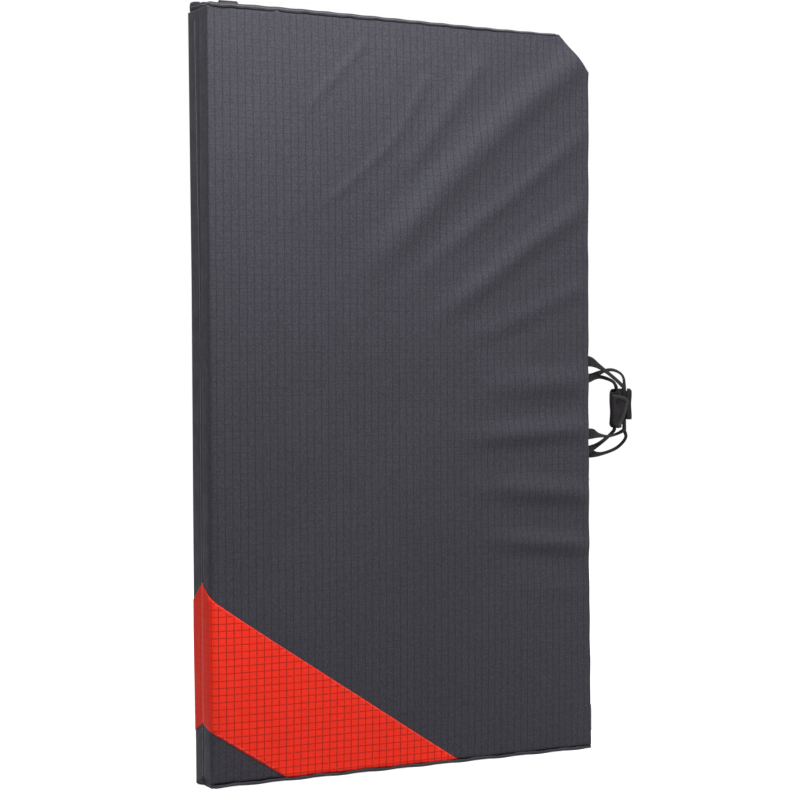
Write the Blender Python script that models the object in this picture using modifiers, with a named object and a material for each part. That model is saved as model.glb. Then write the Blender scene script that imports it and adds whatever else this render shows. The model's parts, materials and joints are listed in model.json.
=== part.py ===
"""A two-panel bouldering crash pad, folded shut and standing on its end.

Each panel is a fabric cover round two slabs of foam. The panels hinge along their landing faces,
at a piped seam on the left, and carry webbing handles on the right that a hook-and-loop wrap holds
together. A shoulder harness and a waist belt lie on the rear panel. Metres, +Z up, front at -Y.
"""

import math

import bmesh
import bpy
import numpy as np
from mathutils import Matrix, Vector

# Overall size of one panel
PAD_HEIGHT = 1.0
PANEL_WIDTH = 0.576
PANEL_DEPTH = 0.030
CORNER_CUT = 0.050

# Cover
COVER_WALL = 0.0012
FACE_CROWN = 0.005
EDGE_DRAW_IN = 0.002
OUTER_ROUND = 0.0065
INNER_ROUND = 0.003
OUTLINE_ROUND = 0.008
HINGE_SETBACK = 0.0012
SEAT_GAP = 0.0003
HINGE_PIPING_RADIUS = 0.0020

# Foam
LANDING_FOAM_DEPTH = 0.011
FOAM_EDGE_ROUND = 0.002
FOAM_GAP = 0.0004

# Coloured corner band: heights at the hinge seam, reach along the foot, and drop round the wall
BAND_TOP = 0.261
BAND_FOOT = 0.0855
BAND_TOP_REACH = 0.394
BAND_FOOT_REACH = 0.130
BAND_CLOTH = 0.0008
BAND_END_MARGIN = 0.002
BAND_SEAM_MARGIN = 0.003
BAND_TOP_DROP = 0.018
BAND_FOOT_DROP = 0.0085

# Carry handles
HANDLE_WEBBING = 0.016
HANDLE_PLY = 0.0016
HANDLE_FROM_SEAM = 0.004
HANDLE_FOOT = 0.012
HANDLE_LENGTH = 0.1037
FRONT_HANDLE_HEIGHT = 0.4937
REAR_HANDLE_HEIGHT = 0.4683
OUTER_STRAND_FROM_SEAM = 0.0085
OUTER_STRAND_FOOT = 0.008

# Grip wrap
GRIP_REACH = 0.0682
GRIP_HEIGHT = 0.4775
GRIP_LENGTH = 0.055
GRIP_WIDTH = 0.034
GRIP_DEPTH = 0.021
GRIP_CLOTH = 0.0022
GRIP_ROUND = 0.009
GRIP_MOUTH = 0.009
FRONT_LANE = 0.005
ENTRY_MARGIN = 0.003
FLAP_BINDING = 0.004
FLAP_BINDING_RISE = 0.0008

# Grab loop on the top end
GRAB_WEBBING = 0.025
GRAB_PLY = 0.0016
GRAB_LENGTH = 0.018
GRAB_FROM_SEAM = 0.0125
GRAB_RISE = 0.009
GRAB_FROM_HINGE = 0.0335

# Foam access zips
ZIP_LENGTH = 0.335
ZIP_FOOT_HEIGHT = 0.045
ZIP_FROM_SEAM = 0.018
ZIP_TAPE_WIDTH = 0.013
ZIP_TAPE_PLY = 0.0009
ZIP_SLOT_WIDTH = 0.005
ZIP_CHAIN_WIDTH = 0.0056
ZIP_CHAIN_RISE = 0.0022
ZIP_STOP_LENGTH = 0.0035
ZIP_STOP_RISE = 0.0016
SLIDER_LENGTH = 0.012
SLIDER_WALL = 0.0014
SLIDER_CLEARANCE = 0.0004
BRIDGE_WIDTH = 0.0024
BRIDGE_WALL = 0.0012
BRIDGE_LENGTH = 0.0062
BRIDGE_CLEAR_HEIGHT = 0.0022
PULL_WIDTH = 0.0085
PULL_LENGTH = 0.034
PULL_PLATE = 0.0013
PULL_BAR = 0.0013
PULL_EYE_LENGTH = 0.0056
PULL_EYE_CLEARANCE = 0.0008

# Shoulder harness on the rear panel
YOKE_HEIGHT = 0.79
YOKE_WIDTH = 0.23
YOKE_DEPTH = 0.046
PATCH_CLOTH = 0.0016
STRAP_PAD = 0.010
STRAP_PAD_ROUND = 0.0035
STRAP_TOP_GAP = 0.0015
STRAP_TOP_OFFSET = 0.062
STRAP_FOOT_OFFSET = 0.078
STRAP_BOW = 0.010
STRAP_LENGTH = 0.33
STRAP_WIDTH = 0.062
HARNESS_WEBBING = 0.025
HARNESS_PLY = 0.0016
WEB_CLEARANCE = 0.0004
LOCK_RAIL = 0.004
LOCK_THICKNESS = 0.003
LOCK_BAR = 0.004
LOCK_UPPER_SLOT = 0.0085
LOCK_LOWER_SLOT = 0.008
LOCK_ROUND = 0.0025
LOCK_DROP = 0.024
LOOP_LENGTH = 0.018
ADJUSTER_DROP = 0.115
TAIL_LENGTH = 0.070
ANCHOR_WIDTH = 0.058
ANCHOR_LENGTH = 0.052

# Waist belt and its side-release buckle
BELT_DROP = 0.055
BELT_WEBBING = 0.038
BELT_ANCHOR_OFFSET = 0.180
BUCKLE_WIDTH = 0.054
BUCKLE_DEPTH = 0.0115
BUCKLE_HOUSING = 0.036
BUCKLE_WALL = 0.0018
BUCKLE_SIDE_WALL = 0.004
BUCKLE_WINDOW = 0.015
BUCKLE_MOUTH_RIM = 0.007
BUCKLE_CLEARANCE = 0.0005
BUCKLE_ROUND = 0.0012
HEEL_BAR = 0.004
HEEL_SLOT = 0.0075
HEEL_NECK = 0.002
TONGUE_THICKNESS = 0.0055
TONGUE_COLLAR = 0.005
PRONG_WIDTH = 0.005
PRONG_BARB = 0.0032
PRONG_LENGTH = 0.026
GUIDE_WIDTH = 0.006
GUIDE_LENGTH = 0.020

CUT_OVERRUN = 0.01
MERGE = 0.00005

GRID_COLUMNS = 8
GRID_ROWS = 12
OUTER_STEPS = 3
INNER_STEPS = 2

# Colour, roughness and metallic value of each finish
FINISHES = {
    "charcoal_cloth": ((0.075, 0.077, 0.088), 0.75, 0.0),
    "red_cloth": ((0.78, 0.03, 0.015), 0.7, 0.0),
    "piping": ((0.10, 0.10, 0.112), 0.6, 0.0),
    "webbing": ((0.028, 0.027, 0.028), 0.85, 0.0),
    "wrap_cloth": ((0.035, 0.034, 0.036), 0.8, 0.0),
    "strap_cloth": ((0.045, 0.046, 0.052), 0.8, 0.0),
    "buckle_plastic": ((0.02, 0.02, 0.021), 0.45, 0.0),
    "zip_tape": ((0.025, 0.025, 0.028), 0.8, 0.0),
    "zip_metal": ((0.12, 0.12, 0.125), 0.4, 1.0),
    "landing_foam": ((0.12, 0.12, 0.13), 0.9, 0.0),
    "core_foam": ((0.62, 0.60, 0.52), 0.95, 0.0),
}

FRONT = -1.0
REAR = 1.0
UP = Vector((0.0, 0.0, 1.0))
ACROSS = Vector((1.0, 0.0, 0.0))
OUTWARD = Vector((0.0, 1.0, 0.0))


def clear_scene():
    for old in list(bpy.data.objects):
        bpy.data.objects.remove(old)


def make_collection(name):
    made = bpy.data.collections.new(name)
    bpy.context.scene.collection.children.link(made)
    return made


def make_materials():
    made = {}
    for name, (colour, roughness, metallic) in FINISHES.items():
        material = bpy.data.materials.new(name)
        material.use_nodes = True
        shader = material.node_tree.nodes["Principled BSDF"]
        shader.inputs["Base Color"].default_value = (*colour, 1.0)
        shader.inputs["Roughness"].default_value = roughness
        shader.inputs["Metallic"].default_value = metallic
        material.diffuse_color = (*colour, 1.0)
        made[name] = material
    return made


def pad_place(empty):
    """Where an empty sits in pad coordinates, whose origin is the foot of the fold axis."""
    place = Vector()
    while empty is not None:
        place += empty.location
        empty = empty.parent
    return place


class Workshop:
    """Holds the collections, the materials and the empties that the pieces hang from."""

    def __init__(self):
        self.parts = make_collection("crash_pad")
        self.cutters = make_collection("cutters")
        self.materials = make_materials()
        self.root = self.empty("pad_origin", Vector(), None)
        self.rear = self.empty("rear_panel_frame", Vector(), self.root)
        self.fold = self.empty("fold_axis", Vector(), self.root)

    def empty(self, name, place, parent):
        """An empty at a place in pad coordinates."""
        made = bpy.data.objects.new(name, None)
        made.location = place - pad_place(parent)
        made.parent = parent
        self.parts.objects.link(made)
        return made

    def piece(self, name, mesh, finish, parent):
        """A named part from a mesh in pad coordinates."""
        made = bpy.data.objects.new(name, mesh)
        mesh.materials.clear()
        mesh.materials.append(self.materials[finish])
        self.parts.objects.link(made)
        made.parent = parent
        mesh.transform(Matrix.Translation(-pad_place(parent)))
        mesh.shade_smooth()
        mesh.set_sharp_from_angle(angle=math.radians(35))
        return made

    def tool(self, name, mesh, parent):
        """A hidden solid for cutting or joining, from a mesh in pad coordinates."""
        made = bpy.data.objects.new(name, mesh)
        made.hide_render = True
        made.display_type = "WIRE"
        made.parent = parent
        mesh.transform(Matrix.Translation(-pad_place(parent)))
        self.cutters.objects.link(made)
        return made


# Shapes

def mesh_from(bm, name, tidy=True):
    if tidy:
        bmesh.ops.recalc_face_normals(bm, faces=bm.faces)
    mesh = bpy.data.meshes.new(name)
    bm.to_mesh(mesh)
    bm.free()
    return mesh


def block(low, high):
    """A box between two corners, as a bmesh."""
    bm = bmesh.new()
    bmesh.ops.create_cube(bm, size=1.0)
    low, high = Vector(low), Vector(high)
    bmesh.ops.scale(bm, vec=high - low, verts=bm.verts)
    bmesh.ops.translate(bm, vec=(low + high) / 2, verts=bm.verts)
    return bm


def block_mesh(name, low, high, rounding=0.0):
    bm = block(low, high)
    if rounding:
        bmesh.ops.bevel(bm, geom=bm.edges[:], offset=rounding, segments=1, affect="EDGES")
    return mesh_from(bm, name)


def outline_mesh(name, loops, thickness):
    """A flat plate in the XY plane from closed outlines, the first outside and the rest holes."""
    curve = bpy.data.curves.new(name, "CURVE")
    curve.dimensions = "2D"
    curve.fill_mode = "BOTH"
    curve.extrude = thickness / 2
    for loop in loops:
        spline = curve.splines.new("POLY")
        spline.points.add(len(loop) - 1)
        for point, (x, y) in zip(spline.points, loop):
            point.co = (x, y, 0.0, 1.0)
        spline.use_cyclic_u = True
    holder = bpy.data.objects.new(name, curve)
    bpy.context.scene.collection.objects.link(holder)
    graph = bpy.context.evaluated_depsgraph_get()
    mesh = bpy.data.meshes.new_from_object(holder.evaluated_get(graph))
    bpy.data.objects.remove(holder)
    bm = bmesh.new()
    bm.from_mesh(mesh)
    bmesh.ops.remove_doubles(bm, verts=bm.verts, dist=MERGE)
    bmesh.ops.dissolve_degenerate(bm, dist=MERGE, edges=bm.edges)
    bmesh.ops.recalc_face_normals(bm, faces=bm.faces)
    bm.to_mesh(mesh)
    bm.free()
    return mesh


def arc_points(centre, radius, start, end, steps):
    """Points on an arc, angles in degrees."""
    angles = np.radians(np.linspace(start, end, steps + 1))
    return [(centre[0] + radius * math.cos(a), centre[1] + radius * math.sin(a)) for a in angles]


def rounded_rectangle(width, height, radius, centre=(0.0, 0.0), steps=3):
    half_x, half_y = width / 2 - radius, height / 2 - radius
    points = []
    for sign_x, sign_y, start in ((1, 1, 0), (-1, 1, 90), (-1, -1, 180), (1, -1, 270)):
        corner = (centre[0] + sign_x * half_x, centre[1] + sign_y * half_y)
        points += arc_points(corner, radius, start, start + 90, steps)
    return points


def smooth_route(rows, steps):
    """Values read from a smooth curve through the rows, with steps stations between two rows."""
    rows = np.array(rows, float)
    ends = np.vstack([2 * rows[0] - rows[1], rows, 2 * rows[-1] - rows[-2]])
    made = []
    for i in range(1, len(ends) - 2):
        a, b, c, d = ends[i - 1 : i + 3]
        for t in np.linspace(0, 1, steps, endpoint=False):
            lean, bend = 2 * a - 5 * b + 4 * c - d, 3 * b - a - 3 * c + d
            made.append((2 * b + (c - a) * t + lean * t**2 + bend * t**3) / 2)
    made.append(rows[-1])
    return made


def strap_mesh(name, stations):
    """An open ribbon along stations of (x, y, z, width, way of the width), for Solidify."""
    places = [Vector(s[:3]) for s in stations]
    bm = bmesh.new()
    bmesh.ops.create_grid(bm, x_segments=1, y_segments=len(stations) - 1, size=0.5)
    for vert in bm.verts:
        row = round((vert.co.y + 0.5) * (len(stations) - 1))
        ahead = places[min(row + 1, len(places) - 1)] - places[max(row - 1, 0)]
        ahead.normalize()
        way = Vector(stations[row][4:7])
        side = (way - way.dot(ahead) * ahead).normalized()
        vert.co = places[row] + side * (vert.co.x * stations[row][3])
    return mesh_from(bm, name)


def solidify(piece, thickness, offset=0.0):
    wall = piece.modifiers.new("thickness", "SOLIDIFY")
    wall.thickness = thickness
    wall.offset = offset
    wall.use_even_offset = True


def round_edges(piece, width, steps):
    bevel = piece.modifiers.new("rounding", "BEVEL")
    bevel.width = width
    bevel.segments = steps
    bevel.limit_method = "ANGLE"
    bevel.angle_limit = math.radians(40)


def combine(piece, tool, operation):
    boolean = piece.modifiers.new(tool.name, "BOOLEAN")
    boolean.operation = operation
    boolean.object = tool
    boolean.solver = "EXACT"


# Panels

def crown_at(x, z):
    """How far the outer face stands proud of its edges: full over the middle, nothing at the rim."""
    across = 2 * x / PANEL_WIDTH - 1
    along = 2 * z / PAD_HEIGHT - 1
    return FACE_CROWN * max(0.0, 1 - across**4) * max(0.0, 1 - along**4)


def draw_in_at(x, z):
    """How far each rim of the outer face is pulled in: most at mid-side, nothing at the corners."""
    across = 2 * x / PANEL_WIDTH - 1
    along = 2 * z / PAD_HEIGHT - 1
    return EDGE_DRAW_IN * across * (1 - along**2), EDGE_DRAW_IN * along * (1 - across**2)


def slice_grid(bm):
    """Cuts the skin along the lines that its crown is shaped on."""
    for axis, size, count in ((0, PANEL_WIDTH, GRID_COLUMNS), (2, PAD_HEIGHT, GRID_ROWS)):
        for line in range(1, count):
            place, normal = Vector(), Vector()
            place[axis], normal[axis] = size * line / count, 1.0
            geometry = bm.verts[:] + bm.edges[:] + bm.faces[:]
            bmesh.ops.bisect_plane(bm, geom=geometry, plane_co=place, plane_no=normal)


def panel_skin(inset, near, far, outer_round, crowned=True):
    """The closed surface of a padded slab: x from the hinge, y outward from the fold plane."""
    low = Vector((HINGE_SETBACK + inset, near, inset))
    high = Vector((PANEL_WIDTH - inset, far, PAD_HEIGHT - inset))
    bm = block(low, high)
    cut_inset = inset * (math.sqrt(2) - 1)
    corner = Vector((high.x - CORNER_CUT / 2 - cut_inset, 0.0, high.z - CORNER_CUT / 2 - cut_inset))
    corner += Vector((inset, 0.0, inset)) / 2
    everything = bm.verts[:] + bm.edges[:] + bm.faces[:]
    bmesh.ops.bisect_plane(bm, geom=everything, plane_co=corner, plane_no=ACROSS + UP, clear_outer=True)
    bmesh.ops.contextual_create(bm, geom=[e for e in bm.edges if e.is_boundary])
    corners = [e for e in bm.edges if abs(e.verts[0].co.y - e.verts[1].co.y) > (far - near) / 2]
    bmesh.ops.bevel(bm, geom=corners, offset=OUTLINE_ROUND, segments=2, profile=0.5, affect="EDGES")
    inner_round = INNER_ROUND if not inset else FOAM_EDGE_ROUND
    for level, radius, steps in ((far, outer_round, OUTER_STEPS), (near, inner_round, INNER_STEPS)):
        rim = [e for e in bm.edges if all(abs(v.co.y - level) < MERGE for v in e.verts)]
        bmesh.ops.bevel(bm, geom=rim, offset=radius, segments=steps, profile=0.5, affect="EDGES")
    if crowned:
        slice_grid(bm)
        for vert in bm.verts:
            x, y, z = vert.co
            rise = (y - near) / (far - near)
            rim = max(0.0, (y - far + outer_round) / outer_round)
            pull_x, pull_z = draw_in_at(x, z)
            vert.co += Vector((-pull_x * rim, crown_at(x, z) * rise, -pull_z * rim))
        bmesh.ops.triangulate(bm, faces=bm.faces)
    bmesh.ops.recalc_face_normals(bm, faces=bm.faces)
    return bm


def set_side(bm, side):
    """Turns a panel's outward Y into the pad's Y for the front or the rear panel."""
    if side == FRONT:
        bmesh.ops.scale(bm, vec=Vector((1, FRONT, 1)), verts=bm.verts)
        bmesh.ops.reverse_faces(bm, faces=bm.faces)


def cover_skin():
    return panel_skin(0.0, SEAT_GAP / 2, PANEL_DEPTH, OUTER_ROUND)


def zip_line():
    return PANEL_DEPTH - ZIP_FROM_SEAM


def open_access_slot(bm):
    """Cuts the foam access slot out of the closure wall."""
    foot = ZIP_FOOT_HEIGHT + ZIP_STOP_LENGTH
    head = ZIP_FOOT_HEIGHT + ZIP_LENGTH - ZIP_STOP_LENGTH
    edges = (
        (Vector((0, zip_line() - ZIP_SLOT_WIDTH / 2, 0)), OUTWARD),
        (Vector((0, zip_line() + ZIP_SLOT_WIDTH / 2, 0)), OUTWARD),
        (Vector((0, 0, foot)), UP),
        (Vector((0, 0, head)), UP),
    )
    for place, normal in edges:
        bm.normal_update()
        wall = [f for f in bm.faces if f.normal.x > 0.99]
        geometry = list({v for f in wall for v in f.verts}) + list({e for f in wall for e in f.edges}) + wall
        bmesh.ops.bisect_plane(bm, geom=geometry, plane_co=place, plane_no=normal)
    bm.normal_update()
    inside = []
    for face in bm.faces:
        centre = face.calc_center_median()
        in_width = abs(centre.y - zip_line()) < ZIP_SLOT_WIDTH / 2
        if face.normal.x > 0.99 and in_width and foot < centre.z < head:
            inside.append(face)
    bmesh.ops.delete(bm, geom=inside, context="FACES")


def make_cover(shop, name, side, parent):
    bm = cover_skin()
    open_access_slot(bm)
    set_side(bm, side)
    cover = shop.piece(name, mesh_from(bm, name, tidy=False), "charcoal_cloth", parent)
    solidify(cover, COVER_WALL, offset=-1.0)


def make_foams(shop, label, side, parent):
    inset = COVER_WALL + FOAM_GAP
    near = SEAT_GAP / 2 + inset
    seam = near + LANDING_FOAM_DEPTH
    far = PANEL_DEPTH - inset
    landing = panel_skin(inset, near, seam, FOAM_EDGE_ROUND, crowned=False)
    core = panel_skin(inset, seam + SEAT_GAP, far, OUTER_ROUND)
    for bm, kind in ((landing, "landing_foam"), (core, "core_foam")):
        set_side(bm, side)
        shop.piece(f"{label}_{kind}", mesh_from(bm, kind, tidy=False), kind, parent)


def flattest_dot(vert):
    """The least cosine between a vertex's normal and the faces round it."""
    return min(vert.normal.dot(face.normal) for face in vert.link_faces)


def make_corner_band(shop, name, side, parent):
    """The coloured cloth round the lower hinge corner, cut from the cover's own surface."""
    bm = cover_skin()
    lines = ((BAND_TOP, BAND_TOP_REACH, BAND_TOP_DROP, 1.0),
             (BAND_FOOT, BAND_FOOT_REACH, BAND_FOOT_DROP, -1.0))
    planes = []
    for height, reach, drop, keep in lines:
        slope = Vector((1 / reach, drop / height / PANEL_DEPTH, 1 / height)).normalized()
        planes.append((UP * height, slope * keep))
    planes.append((UP * BAND_END_MARGIN, -UP))
    planes.append((OUTWARD * (SEAT_GAP / 2 + BAND_SEAM_MARGIN), -OUTWARD))
    for place, normal in planes:
        geometry = bm.verts[:] + bm.edges[:] + bm.faces[:]
        bmesh.ops.bisect_plane(bm, geom=geometry, plane_co=place, plane_no=normal, clear_outer=True)
    bm.normal_update()
    lifted = {v: v.co + v.normal * SEAT_GAP / flattest_dot(v) for v in bm.verts}
    for vert, place in lifted.items():
        vert.co = place
    set_side(bm, side)
    band = shop.piece(name, mesh_from(bm, name, tidy=False), "red_cloth", parent)
    solidify(band, BAND_CLOTH, offset=1.0)


def make_hinge_piping(shop):
    bm = bmesh.new()
    bmesh.ops.create_cone(bm, cap_ends=True, segments=16, radius1=HINGE_PIPING_RADIUS,
                          radius2=HINGE_PIPING_RADIUS, depth=PAD_HEIGHT - 2 * OUTLINE_ROUND)
    bmesh.ops.translate(bm, vec=UP * (PAD_HEIGHT / 2), verts=bm.verts)
    shop.piece("hinge_piping", mesh_from(bm, "hinge_piping"), "piping", shop.rear)


# Carry handles and grip wrap

# Legs of the handle strands. A row holds shares of the way from the sewn foot (0) to the grip (1)
# in x, y and z, the share of the webbing's width, and the way that the width points.
FRONT_UPPER_SHARES = (
    (0.08, 0.00, 0.00, 1.00, 0.0, 0.0, 1.0),
    (0.22, 0.02, 0.10, 0.88, 0.1, 0.0, 1.0),
    (0.40, 0.15, 0.34, 0.58, 0.3, 0.2, 0.9),
    (0.60, 0.40, 0.60, 0.44, 0.4, 0.4, 0.7),
    (0.82, 0.75, 0.84, 0.40, 0.7, 0.3, 0.4),
)
FRONT_LOWER_SHARES = (
    (0.08, 0.00, 0.00, 1.00, 0.0, 0.0, 1.0),
    (0.24, 0.05, 0.05, 0.90, 0.0, 0.0, 1.0),
    (0.40, 0.15, -0.40, 0.48, 0.0, 0.5, 0.8),
    (0.64, 0.35, -0.70, 0.32, 0.0, 0.9, 0.5),
    (0.86, 0.70, 0.10, 0.32, -0.4, 0.7, 0.5),
)
REAR_INNER_UPPER_SHARES = (
    (0.08, 0.00, 0.00, 1.00, 0.0, 0.0, 1.0),
    (0.26, 0.05, -0.10, 0.75, 0.0, 0.0, 1.0),
    (0.50, 0.10, -0.25, 0.40, 0.0, 0.0, 1.0),
    (0.74, 0.35, 0.00, 0.32, 0.2, 0.0, 0.9),
    (0.92, 0.85, 0.40, 0.32, 0.8, 0.2, 0.3),
)
REAR_INNER_LOWER_SHARES = (
    (0.08, 0.00, 0.00, 1.00, 0.0, 0.0, 1.0),
    (0.26, 0.05, 0.10, 0.70, 0.0, 0.1, 1.0),
    (0.50, 0.30, 0.30, 0.42, -0.3, 0.1, 0.9),
    (0.74, 0.60, 0.58, 0.34, -0.5, 0.1, 0.8),
    (0.93, 0.85, 0.86, 0.32, -0.8, 0.1, 0.4),
)
REAR_OUTER_UPPER_SHARES = (
    (0.08, 0.00, 0.00, 1.00, 0.0, 0.0, 1.0),
    (0.26, 0.02, -0.15, 0.75, 0.0, 0.0, 1.0),
    (0.48, 0.02, -0.75, 0.40, -0.2, 0.0, 0.9),
    (0.70, 0.20, -1.05, 0.30, 0.0, 0.1, 0.8),
    (0.88, 0.65, -0.75, 0.30, 0.6, 0.4, 0.5),
    (0.98, 0.90, -0.10, 0.30, 0.9, 0.3, 0.2),
)
REAR_OUTER_LOWER_SHARES = (
    (0.08, 0.00, 0.00, 1.00, 0.0, 0.0, 1.0),
    (0.26, 0.02, -0.10, 0.75, 0.0, 0.0, 1.0),
    (0.50, 0.15, -0.12, 0.38, 0.0, 0.4, 1.0),
    (0.80, 0.45, 0.14, 0.32, -0.3, 0.3, 0.9),
    (1.00, 0.80, 0.60, 0.32, -0.7, 0.2, 0.5),
)
# Where each strand stands in the grip, as shares of its width from the middle, at top and foot
FRONT_LANE_SHARES = (-0.03, 0.03)
REAR_INNER_LANE_SHARES = (-0.17, -0.16)
REAR_OUTER_LANE_SHARES = (0.15, 0.16)
GRIPPED_WIDTH_SHARE = 0.36


def grip_centre():
    return Vector((PANEL_WIDTH + GRIP_REACH, 0.0, GRIP_HEIGHT))


def rear_lane():
    """The rear strands lie against the back wall of the grip wrap."""
    return GRIP_DEPTH / 2 - GRIP_CLOTH - 2 * SEAT_GAP - HANDLE_PLY / 2


def leg_rows(foot, entry, shares, half):
    """Stations of one leg, from rows of shares between its sewn foot and the grip."""
    rows = []
    for x, y, z, width, *way in shares:
        place = [foot[i] + (entry[i] - foot[i]) * share for i, share in enumerate((x, y, z))]
        rows.append((*place, HANDLE_WEBBING * width, *(Vector(way) * half)))
    return rows


def make_handle(shop, name, side, root, foot_run, height, lane, lane_shares, legs, parent, under=0):
    """One strand of webbing: sewn to the closure wall at both feet and held in the grip between.
    The feet lie over those of the strands under it."""
    wall = PANEL_WIDTH + SEAT_GAP + HANDLE_PLY / 2 + under * (HANDLE_PLY + SEAT_GAP)
    middle = grip_centre()
    free, feet = [], []
    for half, shares, lane_share in zip((1, -1), legs, lane_shares):
        foot = Vector((wall, side * root, height + half * HANDLE_LENGTH / 2))
        reach = half * (GRIP_LENGTH / 2 + ENTRY_MARGIN)
        entry = Vector((middle.x + GRIP_WIDTH * lane_share, side * lane, middle.z + reach))
        leg = leg_rows(foot, entry, shares, half)
        leg.append((*entry, HANDLE_WEBBING * GRIPPED_WIDTH_SHARE, *ACROSS))
        free += smooth_route(leg if half == 1 else leg[::-1], 2)
        sewn = [foot + OUTWARD * side * run for run in (foot_run, HANDLE_PLY * 2)]
        feet.append([(*place, HANDLE_WEBBING, *(UP * half)) for place in sewn])
    stations = feet[0] + free + feet[1][::-1]
    strand = shop.piece(name, strap_mesh(name, stations), "webbing", parent)
    solidify(strand, HANDLE_PLY)


def make_handles(shop):
    make_handle(shop, "front_handle", FRONT, HANDLE_FROM_SEAM, HANDLE_FOOT, FRONT_HANDLE_HEIGHT,
                FRONT_LANE, FRONT_LANE_SHARES, (FRONT_UPPER_SHARES, FRONT_LOWER_SHARES), shop.fold)
    make_handle(shop, "rear_handle_inner", REAR, HANDLE_FROM_SEAM, HANDLE_FOOT,
                REAR_HANDLE_HEIGHT, rear_lane(), REAR_INNER_LANE_SHARES,
                (REAR_INNER_UPPER_SHARES, REAR_INNER_LOWER_SHARES), shop.rear)
    make_handle(shop, "rear_handle_outer", REAR, OUTER_STRAND_FROM_SEAM, OUTER_STRAND_FOOT,
                REAR_HANDLE_HEIGHT, rear_lane(), REAR_OUTER_LANE_SHARES,
                (REAR_OUTER_UPPER_SHARES, REAR_OUTER_LOWER_SHARES), shop.rear, under=1)


def make_grip_wrap(shop):
    """The sleeve round the handle strands: a C in section, open to the front, run along Z."""
    middle = grip_centre()
    half_width = (GRIP_WIDTH - GRIP_CLOTH) / 2
    half_depth = (GRIP_DEPTH - GRIP_CLOTH) / 2
    section = [(GRIP_MOUTH / 2, -half_depth)]
    for sign_x, sign_y, start in ((1, -1, -90), (1, 1, 0), (-1, 1, 90), (-1, -1, 180)):
        corner = (sign_x * (half_width - GRIP_ROUND), sign_y * (half_depth - GRIP_ROUND))
        section += arc_points(corner, GRIP_ROUND, start, start + 90, 4)
    section.append((-GRIP_MOUTH / 2, -half_depth))
    rows = [(middle.x + x, middle.y + y, middle.z, GRIP_LENGTH, *UP) for x, y in section]
    wrap = shop.piece("grip_wrap", strap_mesh("grip_wrap", rows), "wrap_cloth", shop.rear)
    solidify(wrap, GRIP_CLOTH)


# The flap's outline, as shares of the grip's width and length from its middle
FLAP_OUTLINE_SHARES = (
    (-0.52, 0.38),
    (0.10, 0.35),
    (0.26, 0.20),
    (0.00, -0.30),
    (-0.22, -0.49),
    (-0.46, -0.43),
    (-0.52, -0.10),
)


def make_grip_flap(shop):
    """The closing flap with its bound edge, hinged at the sleeve's left side."""
    middle = grip_centre()
    back = middle.y - GRIP_DEPTH / 2 - SEAT_GAP
    axis = Vector((middle.x + GRIP_WIDTH * FLAP_OUTLINE_SHARES[0][0], back, middle.z))
    holder = shop.empty("flap_axis", axis, shop.rear)
    outline = [(GRIP_WIDTH * x, GRIP_LENGTH * z) for x, z in FLAP_OUTLINE_SHARES]
    plate = outline_mesh("grip_flap", [outline], GRIP_CLOTH)
    bm = bmesh.new()
    bm.from_mesh(plate)
    field = [f for f in bm.faces if f.normal.z > 0.9]
    bmesh.ops.inset_region(bm, faces=field, thickness=FLAP_BINDING, use_even_offset=True)
    for vert in {v for f in field for v in f.verts}:
        vert.co.z -= FLAP_BINDING_RISE
    bm.to_mesh(plate)
    bm.free()
    centre = Vector((middle.x, back - GRIP_CLOTH / 2, middle.z))
    plate.transform(Matrix.Translation(centre) @ Matrix.Rotation(math.radians(90), 4, "X"))
    shop.piece("grip_flap", plate, "wrap_cloth", holder)


# The grab loop's arch: shares of its half span and of its rise
GRAB_ARCH_SHARES = (
    (-0.78, 0.0),
    (-0.62, 0.14),
    (-0.46, 0.62),
    (-0.22, 0.95),
    (0.0, 1.0),
)


def make_grab_loop(shop):
    """A short webbing arch across the front panel's top end."""
    base = PAD_HEIGHT + SEAT_GAP + GRAB_PLY / 2
    shares = list(GRAB_ARCH_SHARES) + [(-x, rise) for x, rise in reversed(GRAB_ARCH_SHARES[:-1])]
    arch = [(-1.0, 0.0), *smooth_route(shares, 2), (1.0, 0.0)]
    rows = []
    for across, rise in arch:
        place = (GRAB_FROM_HINGE, FRONT * GRAB_FROM_SEAM + GRAB_LENGTH / 2 * across, base + GRAB_RISE * rise)
        rows.append((*place, GRAB_WEBBING, *ACROSS))
    loop = shop.piece("grab_loop", strap_mesh("grab_loop", rows), "webbing", shop.fold)
    solidify(loop, GRAB_PLY)


# Foam access zips

def make_zip_tape(shop, label, origin, parent):
    """The closed tape over the access slot, with its chain of teeth as a raised bead."""
    half_tape, half_chain = ZIP_TAPE_WIDTH / 2, ZIP_CHAIN_WIDTH / 2
    crest = ZIP_TAPE_PLY + ZIP_CHAIN_RISE
    section = [
        (0.0, -half_tape), (ZIP_TAPE_PLY, -half_tape), (ZIP_TAPE_PLY, -half_chain), (crest, -half_chain),
        (crest, half_chain), (ZIP_TAPE_PLY, half_chain), (ZIP_TAPE_PLY, half_tape), (0.0, half_tape),
    ]
    tape = outline_mesh(f"{label}_zip_tape", [section], ZIP_LENGTH)
    tape.transform(Matrix.Translation(origin + UP * ZIP_LENGTH / 2))
    shop.piece(f"{label}_zip_tape", tape, "zip_tape", parent)


def make_zip_stop(shop, name, origin, foot, parent):
    """A small block on the end of the chain, which the slider comes to rest against."""
    seat = ZIP_TAPE_PLY + ZIP_CHAIN_RISE + SEAT_GAP
    low = origin + Vector((seat, -ZIP_CHAIN_WIDTH / 2, foot))
    high = origin + Vector((seat + ZIP_STOP_RISE, ZIP_CHAIN_WIDTH / 2, foot + ZIP_STOP_LENGTH))
    shop.piece(name, block_mesh(name, low, high), "zip_metal", parent)


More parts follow.
